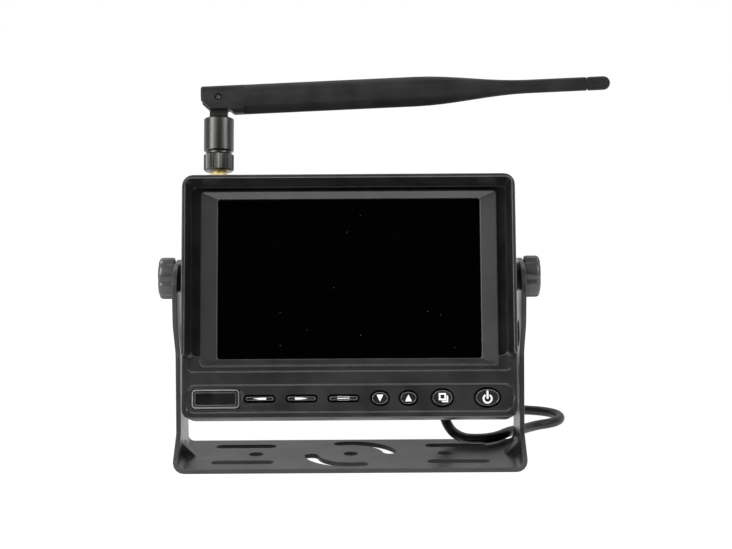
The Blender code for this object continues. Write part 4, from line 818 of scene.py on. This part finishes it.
class MONITOR_OT_stage(bpy.types.Operator):
    """Camera of the photograph, pale floor, soft lamps and a plain world"""

    bl_idname = "monitor.stage"
    bl_label = "Stage"

    def execute(self, context):
        scene = context.scene
        scene.view_settings.view_transform = "Standard"
        lens = bpy.data.cameras.new("photo_camera")
        lens.sensor_width = SENSOR
        lens.lens = FOCAL_PIXELS * SENSOR / IMAGE_WIDTH
        camera = bpy.data.objects.new("photo_camera", lens)
        scene.collection.objects.link(camera)
        look = Matrix.Rotation(pi / 2 - CAMERA_PITCH, 4, "X") @ Matrix.Rotation(CAMERA_ROLL, 4, "Z")
        camera.matrix_world = Matrix.Translation(FOOT + CAMERA_AT) @ look
        scene.camera = camera
        self.floor(scene)
        self.world(scene)
        for name, place, size, power, glossy in LAMPS:
            lamp = bpy.data.lights.new(name, "AREA")
            lamp.shape = "RECTANGLE"
            lamp.size, lamp.size_y = size
            lamp.energy = power
            holder = bpy.data.objects.new(name, lamp)
            holder.visible_glossy = glossy
            scene.collection.objects.link(holder)
            aim = LAMP_AIM - Vector(place)
            holder.matrix_world = (Matrix.Translation(Vector(place))
                                   @ aim.to_track_quat("-Z", "Y").to_matrix().to_4x4())
        return {"FINISHED"}

    def floor(self, scene):
        """Pale floor that shows white to the camera and keeps a soft shadow."""
        shape = bmesh.new()
        bmesh.ops.create_grid(shape, x_segments=1, y_segments=1, size=FLOOR_REACH)
        mesh = bpy.data.meshes.new("studio_floor")
        shape.to_mesh(mesh)
        shape.free()
        ground = bpy.data.objects.new("studio_floor", mesh)
        scene.collection.objects.link(ground)
        paper = bpy.data.materials.new("studio_paper")
        paper.use_nodes = True
        tree = paper.node_tree
        tree.nodes.clear()
        end = add(tree, "ShaderNodeOutputMaterial")
        rays = add(tree, "ShaderNodeLightPath")
        seen = add(tree, "ShaderNodeMath", operation="MAXIMUM")
        seen_all = add(tree, "ShaderNodeMath", operation="MAXIMUM")
        share = add(tree, "ShaderNodeMath", {1: FLOOR_GLOW_SHARE}, operation="MULTIPLY")
        matte = add(tree, "ShaderNodeBsdfDiffuse", {"Color": FLOOR_COLOUR})
        glow = add(tree, "ShaderNodeEmission", {"Color": WHITE, "Strength": FLOOR_GLOW})
        mixed = add(tree, "ShaderNodeMixShader")
        wire(tree, rays, "Is Camera Ray", seen, 0)
        wire(tree, rays, "Is Glossy Ray", seen, 1)
        wire(tree, seen, "Value", seen_all, 0)
        wire(tree, rays, "Is Transmission Ray", seen_all, 1)
        wire(tree, seen_all, "Value", share, 0)
        wire(tree, share, "Value", mixed, "Fac")
        wire(tree, matte, "BSDF", mixed, 1)
        wire(tree, glow, "Emission", mixed, 2)
        wire(tree, mixed, "Shader", end, "Surface")
        mesh.materials.append(paper)

    def world(self, scene):
        """White to the camera; bright behind the object and dim in front of it."""
        studio = bpy.data.worlds.new("studio")
        studio.use_nodes = True
        tree = studio.node_tree
        tree.nodes.clear()
        end = add(tree, "ShaderNodeOutputWorld")
        place = add(tree, "ShaderNodeTexCoord")
        axes = add(tree, "ShaderNodeSeparateXYZ")
        fall = add(tree, "ShaderNodeMapRange", WORLD_FALL, interpolation_type="SMOOTHSTEP")
        rays = add(tree, "ShaderNodeLightPath")
        level = add(tree, "ShaderNodeMath", operation="MAXIMUM")
        light = add(tree, "ShaderNodeBackground", {"Color": WHITE})
        wire(tree, place, "Generated", axes, "Vector")
        wire(tree, axes, "Y", fall, "Value")
        wire(tree, fall, "Result", level, 0)
        wire(tree, rays, "Is Camera Ray", level, 1)
        wire(tree, level, "Value", light, "Strength")
        wire(tree, light, "Background", end, "Surface")
        scene.world = studio


class MONITOR_OT_lead(bpy.types.Operator):
    """Power lead with its tied coil, plug and strain relief"""

    bl_idname = "monitor.lead"
    bl_label = "Power lead"

    def execute(self, context):
        low, high = case_box("cable_gland")
        middle = (low + high) / 2
        start = CASE @ Vector((middle.x, high.y + CLEAR, middle.z))
        straight = CASE @ Vector((middle.x, high.y + CLEAR + LEAD_DIAMETER, middle.z))
        turns = coil_points(COIL_POINTS)
        way_in = (turns[0] - turns[1]).normalized()
        way_in.z = 0.0
        join = turns[0] + way_in * (LEAD_DIAMETER + CLEAR)
        route = [start, straight, *[FOOT + Vector(point) for point in LEAD_ROUTE],
                 join + way_in * LEAD_DIAMETER, join]
        way_out = (turns[-1] - turns[-2]).normalized()
        way_out.z = 0.0
        tail = turns[-1] + way_out * LEAD_DIAMETER
        points = [start, *smooth_path(route, LEAD_DIAMETER / 2), join,
                  *coil_points(COIL_POINTS * COIL_FINER), tail]

        lead = bpy.data.objects.new("power_lead_run", self.tube(context, points))
        context.scene.collection.objects.link(lead)
        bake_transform(lead)
        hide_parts("power_lead", "lead_coil")

        plug = self.plug(tail, way_out)
        tie = new_piece("coil_tie_band", dressed("coil_tie", TIE_EDGE, segments=2),
                        ("moulded_case",), "bracket", "coil_tie")
        self.gland(context, middle, high.y)
        return {"FINISHED"}

    def tube(self, context, points):
        """Mesh of a round lead along points, with closed ends."""
        curve = bpy.data.curves.new("lead_line", "CURVE")
        curve.dimensions = "3D"
        curve.bevel_depth = LEAD_DIAMETER / 2
        curve.bevel_resolution = LEAD_ROUND
        curve.use_fill_caps = True
        line = curve.splines.new("POLY")
        line.points.add(len(points) - 1)
        for target, point in zip(line.points, points):
            target.co = (*point, 1.0)
        drawn = bpy.data.objects.new("lead_line", curve)
        context.scene.collection.objects.link(drawn)
        graph = context.evaluated_depsgraph_get()
        mesh = bpy.data.meshes.new_from_object(drawn.evaluated_get(graph))
        bpy.data.objects.remove(drawn)
        mesh.shade_smooth()
        mesh.materials.clear()
        mesh.materials.append(finish("lead_jacket"))
        return mesh

    def plug(self, tail, way_out):
        """Screw-lock plug: ribbed relief, plain grip, collar and pins."""
        turn = Matrix.Translation(tail + way_out * CLEAR) @ way_out.to_track_quat(
            "Z", "Y").to_matrix().to_4x4()
        nose = local_box("power_plug", turn)[1]
        grip, reach = nose.x, nose.z
        profile = [(0, 0), (RELIEF_RADIUS, 0)]
        for k in range(RELIEF_RIBS):
            base = RIB_START + RIB_PITCH * k
            wide = RELIEF_RADIUS + RIB_GROWTH * k
            profile += [(wide, base), (wide + RIB_RISE, base + RIB_SLOPE),
                        (wide + RIB_RISE, base + 3 * RIB_SLOPE), (wide, base + 4 * RIB_SLOPE)]
        profile += [(grip * RELIEF_SHOULDER, RELIEF_END), (grip - GRIP_ROUND[0], GRIP_FOOT[0]),
                    (grip, GRIP_FOOT[1]), (grip, GRIP_HEAD[0]), (grip - GRIP_ROUND[1], GRIP_HEAD[1]),
                    (grip * NECK_SHARE, NECK[0]), (grip * NECK_SHARE, NECK[1]),
                    (COLLAR_RADIUS, COLLAR_START), (COLLAR_RADIUS, reach - COLLAR_EDGE[1]),
                    (COLLAR_RADIUS - COLLAR_EDGE[0], reach), (COLLAR_BORE, reach),
                    (COLLAR_BORE, reach - COLLAR_DEPTH), (0, reach - COLLAR_DEPTH)]
        shapes = [spun(profile, steps=48)]
        for k in range(CONTACTS):
            around = pi / 4 + k * 2 * pi / CONTACTS
            contact = raised(disc(CONTACT_DIAMETER, CONTACT_DIAMETER, segments=16), CONTACT_LENGTH)
            shapes.append(shifted(contact, CONTACT_CIRCLE * cos(around), CONTACT_CIRCLE * sin(around),
                                  reach - COLLAR_DEPTH - CONTACT_SUNK))
        return new_piece("power_plug_body", moved(together(shapes), turn), ("moulded_case",), "bracket",
                         "power_plug")

    def gland(self, context, middle, end):
        """Tapered strain relief with ribs."""
        ribs = context.scene.monitor_sizes.gland_ribs
        base = case_box("rear_housing")[1].y + CLEAR
        length = end - base
        profile = [(0, 0), (GLAND_FOOT, 0), (GLAND_FOOT, GLAND_FLANGE),
                   (GLAND_FOOT - GLAND_EDGE, GLAND_FLANGE + GLAND_EDGE)]
        pitch = (length - GLAND_RIBS_FROM - GLAND_PLAIN_END) / ribs
        for k in range(ribs):
            begin = GLAND_RIBS_FROM + pitch * k
            outer = GLAND_FOOT + (GLAND_TIP - GLAND_FOOT) * (begin / length)
            profile += [(outer - depth, begin + pitch * share) for depth, share in GLAND_RIB]
        profile += [(GLAND_TIP, length - GLAND_ROUND), (GLAND_TIP - GLAND_ROUND, length), (0, length)]
        turn = CASE @ Matrix.Translation((middle.x, base, middle.z)) @ Matrix.Rotation(-pi / 2, 4, "X")
        new_piece("strain_relief", moved(spun(profile, steps=40), turn), ("black_rubber",), "monitor",
                  "cable_gland")


class MONITOR_OT_bracket(bpy.types.Operator):
    """Folded bracket with rolled sheet edges"""

    bl_idname = "monitor.bracket"
    bl_label = "Bracket"

    def execute(self, context):
        holes = [Matrix.Translation(FOOT + Vector((0, y, 0))) for y in FOOT_ROWS]
        arms = Matrix.Translation(PIVOT)
        shape = dressed("u_bracket", context.scene.monitor_sizes.sheet_edge,
                        cuts=[(place, Y) for place in holes] + [(arms, Y), (arms, Z)])
        for face in shape.faces:
            middle = face.calc_center_median() - FOOT
            inside = abs(middle.x) < SLOT_FIELD[0] and abs(middle.y) < SLOT_FIELD[1]
            if inside and middle.z < SHEET - MERGE and abs(face.normal.z) < SLOT_WALL:
                face.material_index = SECOND
        new_piece("bracket_sheet", shape, ("powder_coat", "cut_coat"), "bracket",
                  "u_bracket")
        return {"FINISHED"}


class MONITOR_OT_case(bpy.types.Operator):
    """Front bezel, sun visor and rear housing with moulded edges"""

    bl_idname = "monitor.case"
    bl_label = "Case"

    def execute(self, context):
        edge = context.scene.monitor_sizes.case_edge
        cuts = [(CASE, X)]
        for node in ("screen_glass", "power_button"):
            low, high = case_box(node)
            cuts.append((CASE @ Matrix.Translation((low + high) / 2), Z))
        low, high = case_box("front_bezel")
        seams = {"sun_visor": (low.y - SEAM, SEAM_REACH), "rear_housing": (high.y + SEAM, -SEAM_REACH)}
        for node, name in (("front_bezel", "bezel_moulding"), ("sun_visor", "visor_moulding"),
                           ("rear_housing", "rear_moulding")):
            crisp = self.hidden_hole if node == "front_bezel" else None
            shape = dressed(node, edge, cuts=cuts, left_sharp=crisp, thin=self.frame_rim,
                            thin_width=FRAME_RIM_EDGE, seam=seams.get(node))
            if node == "front_bezel":
                self.mark_finishes(shape)
            new_piece(name, shape, ("moulded_case", "matte_painted_shade", "frame_plastic"), "monitor",
                      node)
        return {"FINISHED"}

    def mark_finishes(self, shape):
        """Makes the groove and the key holes matte and darker, as painted shade, and the sloped frame
        smoother.
        """
        front = case_box("front_bezel")[0].y
        for face in shape.faces:
            x, y, z = INTO_CASE @ face.calc_center_median()
            inwards = face.normal.dot(CASE_DEPTH)
            beyond = abs(x) > GROOVE_SIDE or z > GROOVE_TOP
            if beyond and front + GROOVE_RIM < y < front + GROOVE_DEPTH:
                face.material_index = SECOND
            elif self.key_hole(face) and abs(inwards) < KEY_HOLE_WALL:
                face.material_index = SECOND
            elif abs(x) < FRAME_SIDE and FRAME_LOW < z < FRAME_HIGH and inwards < -FRAME_FACING:
                face.material_index = THIRD

    def hidden_hole(self, edge):
        """Whether an edge belongs to a key hole or to a slot that the visor covers."""
        points = case_points(edge)
        inside = all(abs(point.x) < SLOT_SIDE[1] and point.z < SLOT_TOP[1] for point in points)
        beyond = all(abs(point.x) > SLOT_SIDE[0] or point.z > SLOT_TOP[0] for point in points)
        return inside and beyond or self.key_hole(edge)

    def key_hole(self, part):
        """Whether an edge or a face belongs to the holes of the keys, which stay crisp."""
        low, high = case_box("power_button")
        left = case_box("badge_blank")[0].x - KEY_ROW_MARGIN
        return all(left < point.x < high.x and low.z < point.z < high.z and low.y < point.y < high.y
                   for point in case_points(part))

    def frame_rim(self, edge):
        """Whether an edge belongs to the narrow rim of the sloped frame."""
        front = case_box("front_bezel")[0].y
        return all(abs(point.x) < FRAME_SIDE and FRAME_LOW < point.z < FRAME_HIGH
                   and abs(point.y - front) < 2 * MERGE for point in case_points(edge))


class MONITOR_OT_screen(bpy.types.Operator):
    """Dark screen glass with a trace of dust"""

    bl_idname = "monitor.screen"
    bl_label = "Screen"

    def execute(self, context):
        low, high = case_box("screen_glass")
        shape = raised(plate(high.x - low.x, high.z - low.z, SCREEN_CORNER), high.y - low.y)
        soften(shape, sharp_edges(shape, SCREEN_CREASE), SCREEN_EDGE, segments=2)
        self.dust(finish("dark_glass").node_tree)
        new_piece("screen_plate", moved(shape, looking_out((low + high) / 2, high.y)), ("dark_glass",),
                  "monitor", "screen_glass")
        return {"FINISHED"}

    def dust(self, tree):
        """Lays a little dust over the glass."""
        painted = tree.nodes["Principled BSDF"].inputs["Base Color"]
        specks = add(tree, "ShaderNodeGroup", node_tree=dust_specks())
        mixed = add(tree, "ShaderNodeMix", data_type="RGBA")
        tree.links.new(painted.links[0].from_socket, mixed.inputs["A"])
        mixed.inputs["B"].default_value = DUST_COLOUR
        wire(tree, specks, "Mask", mixed, "Factor")
        tree.links.new(mixed.outputs["Result"], painted)


class MONITOR_OT_keys(bpy.types.Operator):
    """Seven keys with rims, hollows and their signs, and the bare badge plate"""

    bl_idname = "monitor.keys"
    bl_label = "Keys"

    def execute(self, context):
        sizes = context.scene.monitor_sizes
        signs = {"left": [self.arrow(*LONG_ARROW, pi / 2)], "right": [self.arrow(*LONG_ARROW, -pi / 2)],
                 "menu": self.bars(), "down": [self.arrow(*SMALL_ARROW, pi)],
                 "up": [self.arrow(*SMALL_ARROW, 0.0)],
                 "window": [cells(WINDOW_COLUMNS, WINDOW_ROWS, WINDOW_CELLS)], "power": self.power()}
        thick = sizes.sign_thick * (1 + SIGN_SUNK)
        for name, flats in signs.items():
            self.key(sizes, name, together([raised(flat, thick) for flat in flats]))
        self.badge()
        return {"FINISHED"}

    def key(self, sizes, name, sign):
        """One key with its sign printed in the hollow."""
        low, high = case_box(f"{name}_button")
        full_width, full_height = high.x - low.x, high.z - low.z
        width, height = full_width - 2 * KEY_FLANGE, full_height - 2 * KEY_FLANGE
        pill = width > 2 * height
        cap = raised(disc(width - 2 * sizes.key_gap, height - 2 * sizes.key_gap, pill), KEY_DEPTH)
        top = top_face(cap)
        bmesh.ops.inset_region(cap, faces=[top], thickness=sizes.key_rim, use_even_offset=True)
        bmesh.ops.translate(cap, vec=(0, 0, -sizes.key_dish), verts=top.verts)
        rim = [edge for edge in cap.edges if all(vert.co.z > KEY_DEPTH - MERGE for vert in edge.verts)
               and edge.calc_face_angle(0.0) > KEY_CREASE]
        soften(cap, rim, KEY_EDGE)
        back = KEY_DEPTH - (high.y - low.y)
        stem = shifted(raised(disc(STEM_DIAMETER, STEM_DIAMETER, segments=24), STEM_LENGTH), 0, 0, back)
        flange = shifted(raised(disc(full_width, full_height, pill), FLANGE_THICK), 0, 0,
                         back + FLANGE_LIFT)
        # the flange behind the bezel takes the matte finish with painted shade
        for face in flange.faces:
            face.material_index = SECOND
        place = looking_out((low + high) / 2, low.y)
        drop = Matrix.Translation((0, 0, -KEY_DEPTH))
        new_piece(f"{name}_key_cap", moved(together([cap, stem, flange]), place @ drop),
                  ("key_rubber", "matte_painted_shade"), f"{name}_key", f"{name}_button")
        lift = Matrix.Translation((0, 0, -sizes.key_dish - sizes.sign_thick * SIGN_SUNK))
        new_piece(f"{name}_key_sign", moved(sign, place @ lift), ("sign_print",), f"{name}_key")

    def arrow(self, length, half, turn):
        """Flat triangle that points along its turn from up."""
        shape = bmesh.new()
        bmesh.ops.create_circle(shape, cap_ends=True, radius=1.0, segments=3)
        low = min(vert.co.y for vert in shape.verts)
        tall = max(vert.co.y for vert in shape.verts) - low
        wide = 2 * max(vert.co.x for vert in shape.verts)
        shifted(shape, 0, -low - tall / 2, 0)
        bmesh.ops.scale(shape, vec=(2 * half / wide, length / tall, 1), verts=shape.verts)
        bmesh.ops.rotate(shape, cent=(0, 0, 0), matrix=Matrix.Rotation(turn, 3, "Z"), verts=shape.verts)
        return round_corners(shape, ARROW_CORNER)

    def bars(self):
        """Three short bars, flat."""
        return [shifted(plate(*BAR, BAR_CORNER), 0, BAR_PITCH * k, 0) for k in (-1, 0, 1)]

    def power(self):
        """Ring that is open at the top, with a bar through the gap, flat."""
        ring = bmesh.new()
        first = [ring.verts.new((radius * sin(RING_GAP), radius * cos(RING_GAP), 0)) for radius in RING]
        edge = ring.edges.new(first)
        bmesh.ops.spin(ring, geom=first + [edge], cent=(0, 0, 0), axis=(0, 0, -1),
                       angle=2 * pi - 2 * RING_GAP, steps=RING_STEPS, use_merge=False)
        bmesh.ops.recalc_face_normals(ring, faces=ring.faces)
        bar = shifted(plate(*RING_BAR, RING_BAR_CORNER), 0, RING_BAR_LIFT, 0)
        return [shifted(shape, 0, -RING_DROP, 0) for shape in (ring, bar)]

    def badge(self):
        """Bare black plate with a bright rim and a sloped border."""
        low, high = case_box("badge_blank")
        shape = raised(plate(high.x - low.x, high.z - low.z, BADGE_CORNER, segments=6),
                       high.y - low.y - BADGE_CROWN)
        top = top_face(shape)
        for face in bmesh.ops.inset_region(shape, faces=[top], thickness=BADGE_RIM,
                                           use_even_offset=True)["faces"]:
            face.material_index = SECOND
        bmesh.ops.inset_region(shape, faces=[top], thickness=BADGE_SLOPE, use_even_offset=True)
        bmesh.ops.translate(shape, vec=(0, 0, BADGE_CROWN), verts=top.verts)
        soften(shape, top.edges, BADGE_EDGE, segments=2)
        new_piece("badge_plate", moved(shape, looking_out((low + high) / 2, high.y)),
                  ("badge_gloss", "badge_rim"), "monitor", "badge_blank")


class MONITOR_OT_clamps(bpy.types.Operator):
    """Lobed clamp knobs at both sides"""

    bl_idname = "monitor.clamps"
    bl_label = "Clamps"

    def execute(self, context):
        lobes = context.scene.monitor_sizes.knob_lobes
        for side, way in (("left", -1), ("right", 1)):
            low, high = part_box(f"{side}_knob")
            inner = high.x if way < 0 else low.x
            length = high.x - low.x
            diameter = high.z - low.z
            shape = disc(diameter, diameter, segments=KNOB_POINTS)
            for vert in shape.verts:
                turn = atan2(vert.co.y, vert.co.x)
                dip = max(0.0, -cos(lobes * turn) - KNOB_LAND) / (1.0 - KNOB_LAND)
                vert.co *= 1.0 - KNOB_NOTCH * dip
            bmesh.ops.scale(shape, vec=(KNOB_FOOT, KNOB_FOOT, 1), verts=shape.verts)
            levels = [(KNOB_CHAMFER, 1.0)] + [(length - below, scale) for below, scale in KNOB_DOME]
            stacked(shape, [(height, scale / KNOB_FOOT) for height, scale in levels])
            place = Matrix.Translation((inner, PIVOT.y, PIVOT.z)) @ Matrix.Rotation(way * pi / 2, 4, "Y")
            new_piece(f"{side}_knob_grip", moved(shape, place), ("knob_plastic",), f"{side}_clamp_knob",
                      f"{side}_knob")
        return {"FINISHED"}


class MONITOR_OT_aerial(bpy.types.Operator):
    """Knurled coupling nut, plated swivel, folding paddle with its pin, and its tip"""

    bl_idname = "monitor.aerial"
    bl_label = "Aerial"

    def execute(self, context):
        new_piece("coupling_nut_knurl", dressed("coupling_nut", NUT_EDGE, segments=2), ("dark_plate",),
                  "coupling_nut", "coupling_nut")
        self.swivel()
        self.paddle()
        self.pin()
        self.tip()
        return {"FINISHED"}

    def swivel(self):
        """Turned barrel with a groove at its foot and a flat tongue on its crown."""
        low, high = local_box("aerial_swivel", AERIAL)
        nut_top = local_box("coupling_nut", AERIAL)[1].z
        pin = (AERIAL.inverted() @ FOLD).z
        radius = (high.x - low.x) / 2
        crown = pin - PIN_OVER_CROWN
        shoulder = crown - SWIVEL_CONE
        flange = nut_top - SWIVEL_FLANGE_DROP
        flange_foot = flange - SWIVEL_FLANGE_THICK
        groove = nut_top + CLEAR
        groove_top = groove + SWIVEL_GROOVE_HEIGHT
        barrel = groove_top + SWIVEL_STEP
        profile = [(0, low.z), (SWIVEL_STEM, low.z), (SWIVEL_STEM, flange_foot),
                   (SWIVEL_FLANGE, flange_foot), (SWIVEL_FLANGE, flange), (SWIVEL_NECK, flange),
                   (SWIVEL_NECK, groove), (SWIVEL_GROOVE, groove), (SWIVEL_GROOVE, groove_top),
                   (radius - SWIVEL_EDGE, barrel), (radius, barrel + SWIVEL_EDGE),
                   (radius, shoulder - SWIVEL_EDGE), (radius - SWIVEL_EDGE, shoulder),
                   (SWIVEL_CROWN, crown - SWIVEL_STEP), (SWIVEL_CROWN - SWIVEL_EDGE, crown), (0, crown)]
        length = pin + TONGUE_HALF - (crown - TONGUE_ROOT)
        tongue = raised(disc(length, 2 * TONGUE_HALF, pill=True), TONGUE_THICK)
        upright = (Matrix.Translation((0, TONGUE_THICK / 2, pin + TONGUE_HALF - length / 2)) @ FACING
                   @ Matrix.Rotation(pi / 2, 4, "Z"))
        bmesh.ops.transform(tongue, matrix=upright, verts=tongue.verts)
        new_piece("swivel_barrel", moved(together([spun(profile, steps=72), tongue]), AERIAL),
                  ("dark_plate",), "swivel", "aerial_swivel")

    def paddle(self):
        """Crowned folding paddle, thinner at its knuckle."""
        shape = dressed("paddle_sheath", PADDLE_EDGE, cuts=[(PADDLE, Y)])
        half = local_box("paddle_sheath", PADDLE)[1].z
        cuts = [(X, KNUCKLE), (X, KNUCKLE + KNUCKLE_STEP)]
        cuts += [(Z, half * k / PADDLE_SLICES) for k in range(1 - PADDLE_SLICES, PADDLE_SLICES)]
        for axis, reach in cuts:
            normal = PADDLE.col[axis].to_3d()
            sliced(shape, PADDLE.translation + normal * reach, normal)
        turn = PADDLE.inverted()
        for vert in shape.verts:
            x, y, z = turn @ vert.co
            if x < KNUCKLE + MERGE:
                y, z = y * KNUCKLE_EASE[0], z * KNUCKLE_EASE[1]
            else:
                y *= 1 - PADDLE_CROWN * (z / half) ** 2
            vert.co = PADDLE @ Vector((x, y, z))
        new_piece("paddle_moulding", shape, ("aerial_sheath",), "paddle",
                  "paddle_sheath")

    def pin(self):
        """Fold pin with a dimple in each end."""
        low, high = local_box("aerial_pin", PADDLE)
        radius, length = (high.x - low.x) / 2, high.y - low.y
        end = [(0, DIMPLE_DEPTH), (DIMPLE_FLOOR, DIMPLE_DEPTH), (DIMPLE_RIM, DIMPLE_LIP),
               (radius - PIN_EDGE, 0), (radius, PIN_EDGE)]
        profile = end + [(wide, length - height) for wide, height in reversed(end)]
        place = (PADDLE @ Matrix.Translation(((low.x + high.x) / 2, low.y, (low.z + high.z) / 2))
                 @ Matrix.Rotation(-pi / 2, 4, "X"))
        new_piece("fold_pin", moved(spun(profile, steps=32), place), ("pin_steel",), "paddle",
                  "aerial_pin")

    def tip(self):
        """Round cap on the paddle's end."""
        low, high = local_box("aerial_tip_cap", PADDLE)
        radius, length = (high.z - low.z) / 2, high.x - low.x
        profile = [(0, 0), (radius * TIP_SHARE, 0), (radius, TIP_CHAMFER)]
        for k in range(TIP_STEPS):
            turn = k * pi / 2 / TIP_STEPS
            profile.append((radius * cos(turn), length - radius + radius * sin(turn)))
        profile.append((0, length))
        place = (PADDLE @ Matrix.Translation((low.x, 0, (low.z + high.z) / 2))
                 @ Matrix.Rotation(pi / 2, 4, "Y"))
        new_piece("tip_cap_moulding", moved(spun(profile, steps=40), place), ("aerial_sheath",),
                  "paddle", "aerial_tip_cap")


class MONITOR_OT_inner(bpy.types.Operator):
    """Finishes for the pieces that keep their solids"""

    bl_idname = "monitor.inner"
    bl_label = "Inner pieces"

    def execute(self, context):
        kept = {"black_rubber": ("left_rubber_washer", "right_rubber_washer"),
                "zinc_steel": ("left_knob_stud", "right_knob_stud", "left_lock_washer",
                               "right_lock_washer", "aerial_radiator", "rf_shield", "case_screw_1",
                               "case_screw_2", "case_screw_3", "case_screw_4"),
                "gold_plate": ("aerial_jack", "aerial_jack_nut"),
                "turned_brass": ("left_insert", "right_insert"),
                "solder_mask": ("main_board", "key_board"),
                "panel_back": ("lcd_module",)}
        for look, nodes in kept.items():
            for node in nodes:
                materials = frame["nodes"][node].data.materials
                materials.clear()
                materials.append(finish(look))
        return {"FINISHED"}


class MONITOR_PT_panel(bpy.types.Panel):
    """Sizes, colours and steps of the dash monitor"""

    bl_label = "Dash monitor"
    bl_idname = "MONITOR_PT_panel"
    bl_space_type = "VIEW_3D"
    bl_region_type = "UI"
    bl_category = "Monitor"

    def draw(self, context):
        layout = self.layout
        for values in (context.scene.monitor_sizes, context.scene.monitor_colours):
            box = layout.box()
            for name in values.bl_rna.properties.keys():
                if name not in ("rna_type", "name"):
                    box.prop(values, name)
        for step in STEPS:
            layout.operator(step.bl_idname)


STEPS = (MONITOR_OT_stage, MONITOR_OT_lead, MONITOR_OT_bracket, MONITOR_OT_case, MONITOR_OT_screen,
         MONITOR_OT_keys, MONITOR_OT_clamps, MONITOR_OT_aerial, MONITOR_OT_inner)
CLASSES = (MonitorSizes, MonitorColours, *STEPS, MONITOR_PT_panel)


def register():
    """Registers the classes and hangs the values on the scene."""
    for item in CLASSES:
        bpy.utils.register_class(item)
    bpy.types.Scene.monitor_sizes = PointerProperty(type=MonitorSizes)
    bpy.types.Scene.monitor_colours = PointerProperty(type=MonitorColours)


def unregister():
    """Takes the classes and values away again."""
    del bpy.types.Scene.monitor_colours
    del bpy.types.Scene.monitor_sizes
    for item in reversed(CLASSES):
        bpy.utils.unregister_class(item)


def main():
    """Builds the stage and every piece in order."""
    register()
    for step in STEPS:
        area, name = step.bl_idname.split(".")
        getattr(getattr(bpy.ops, area), name)()


if __name__ == "__main__":
    main()
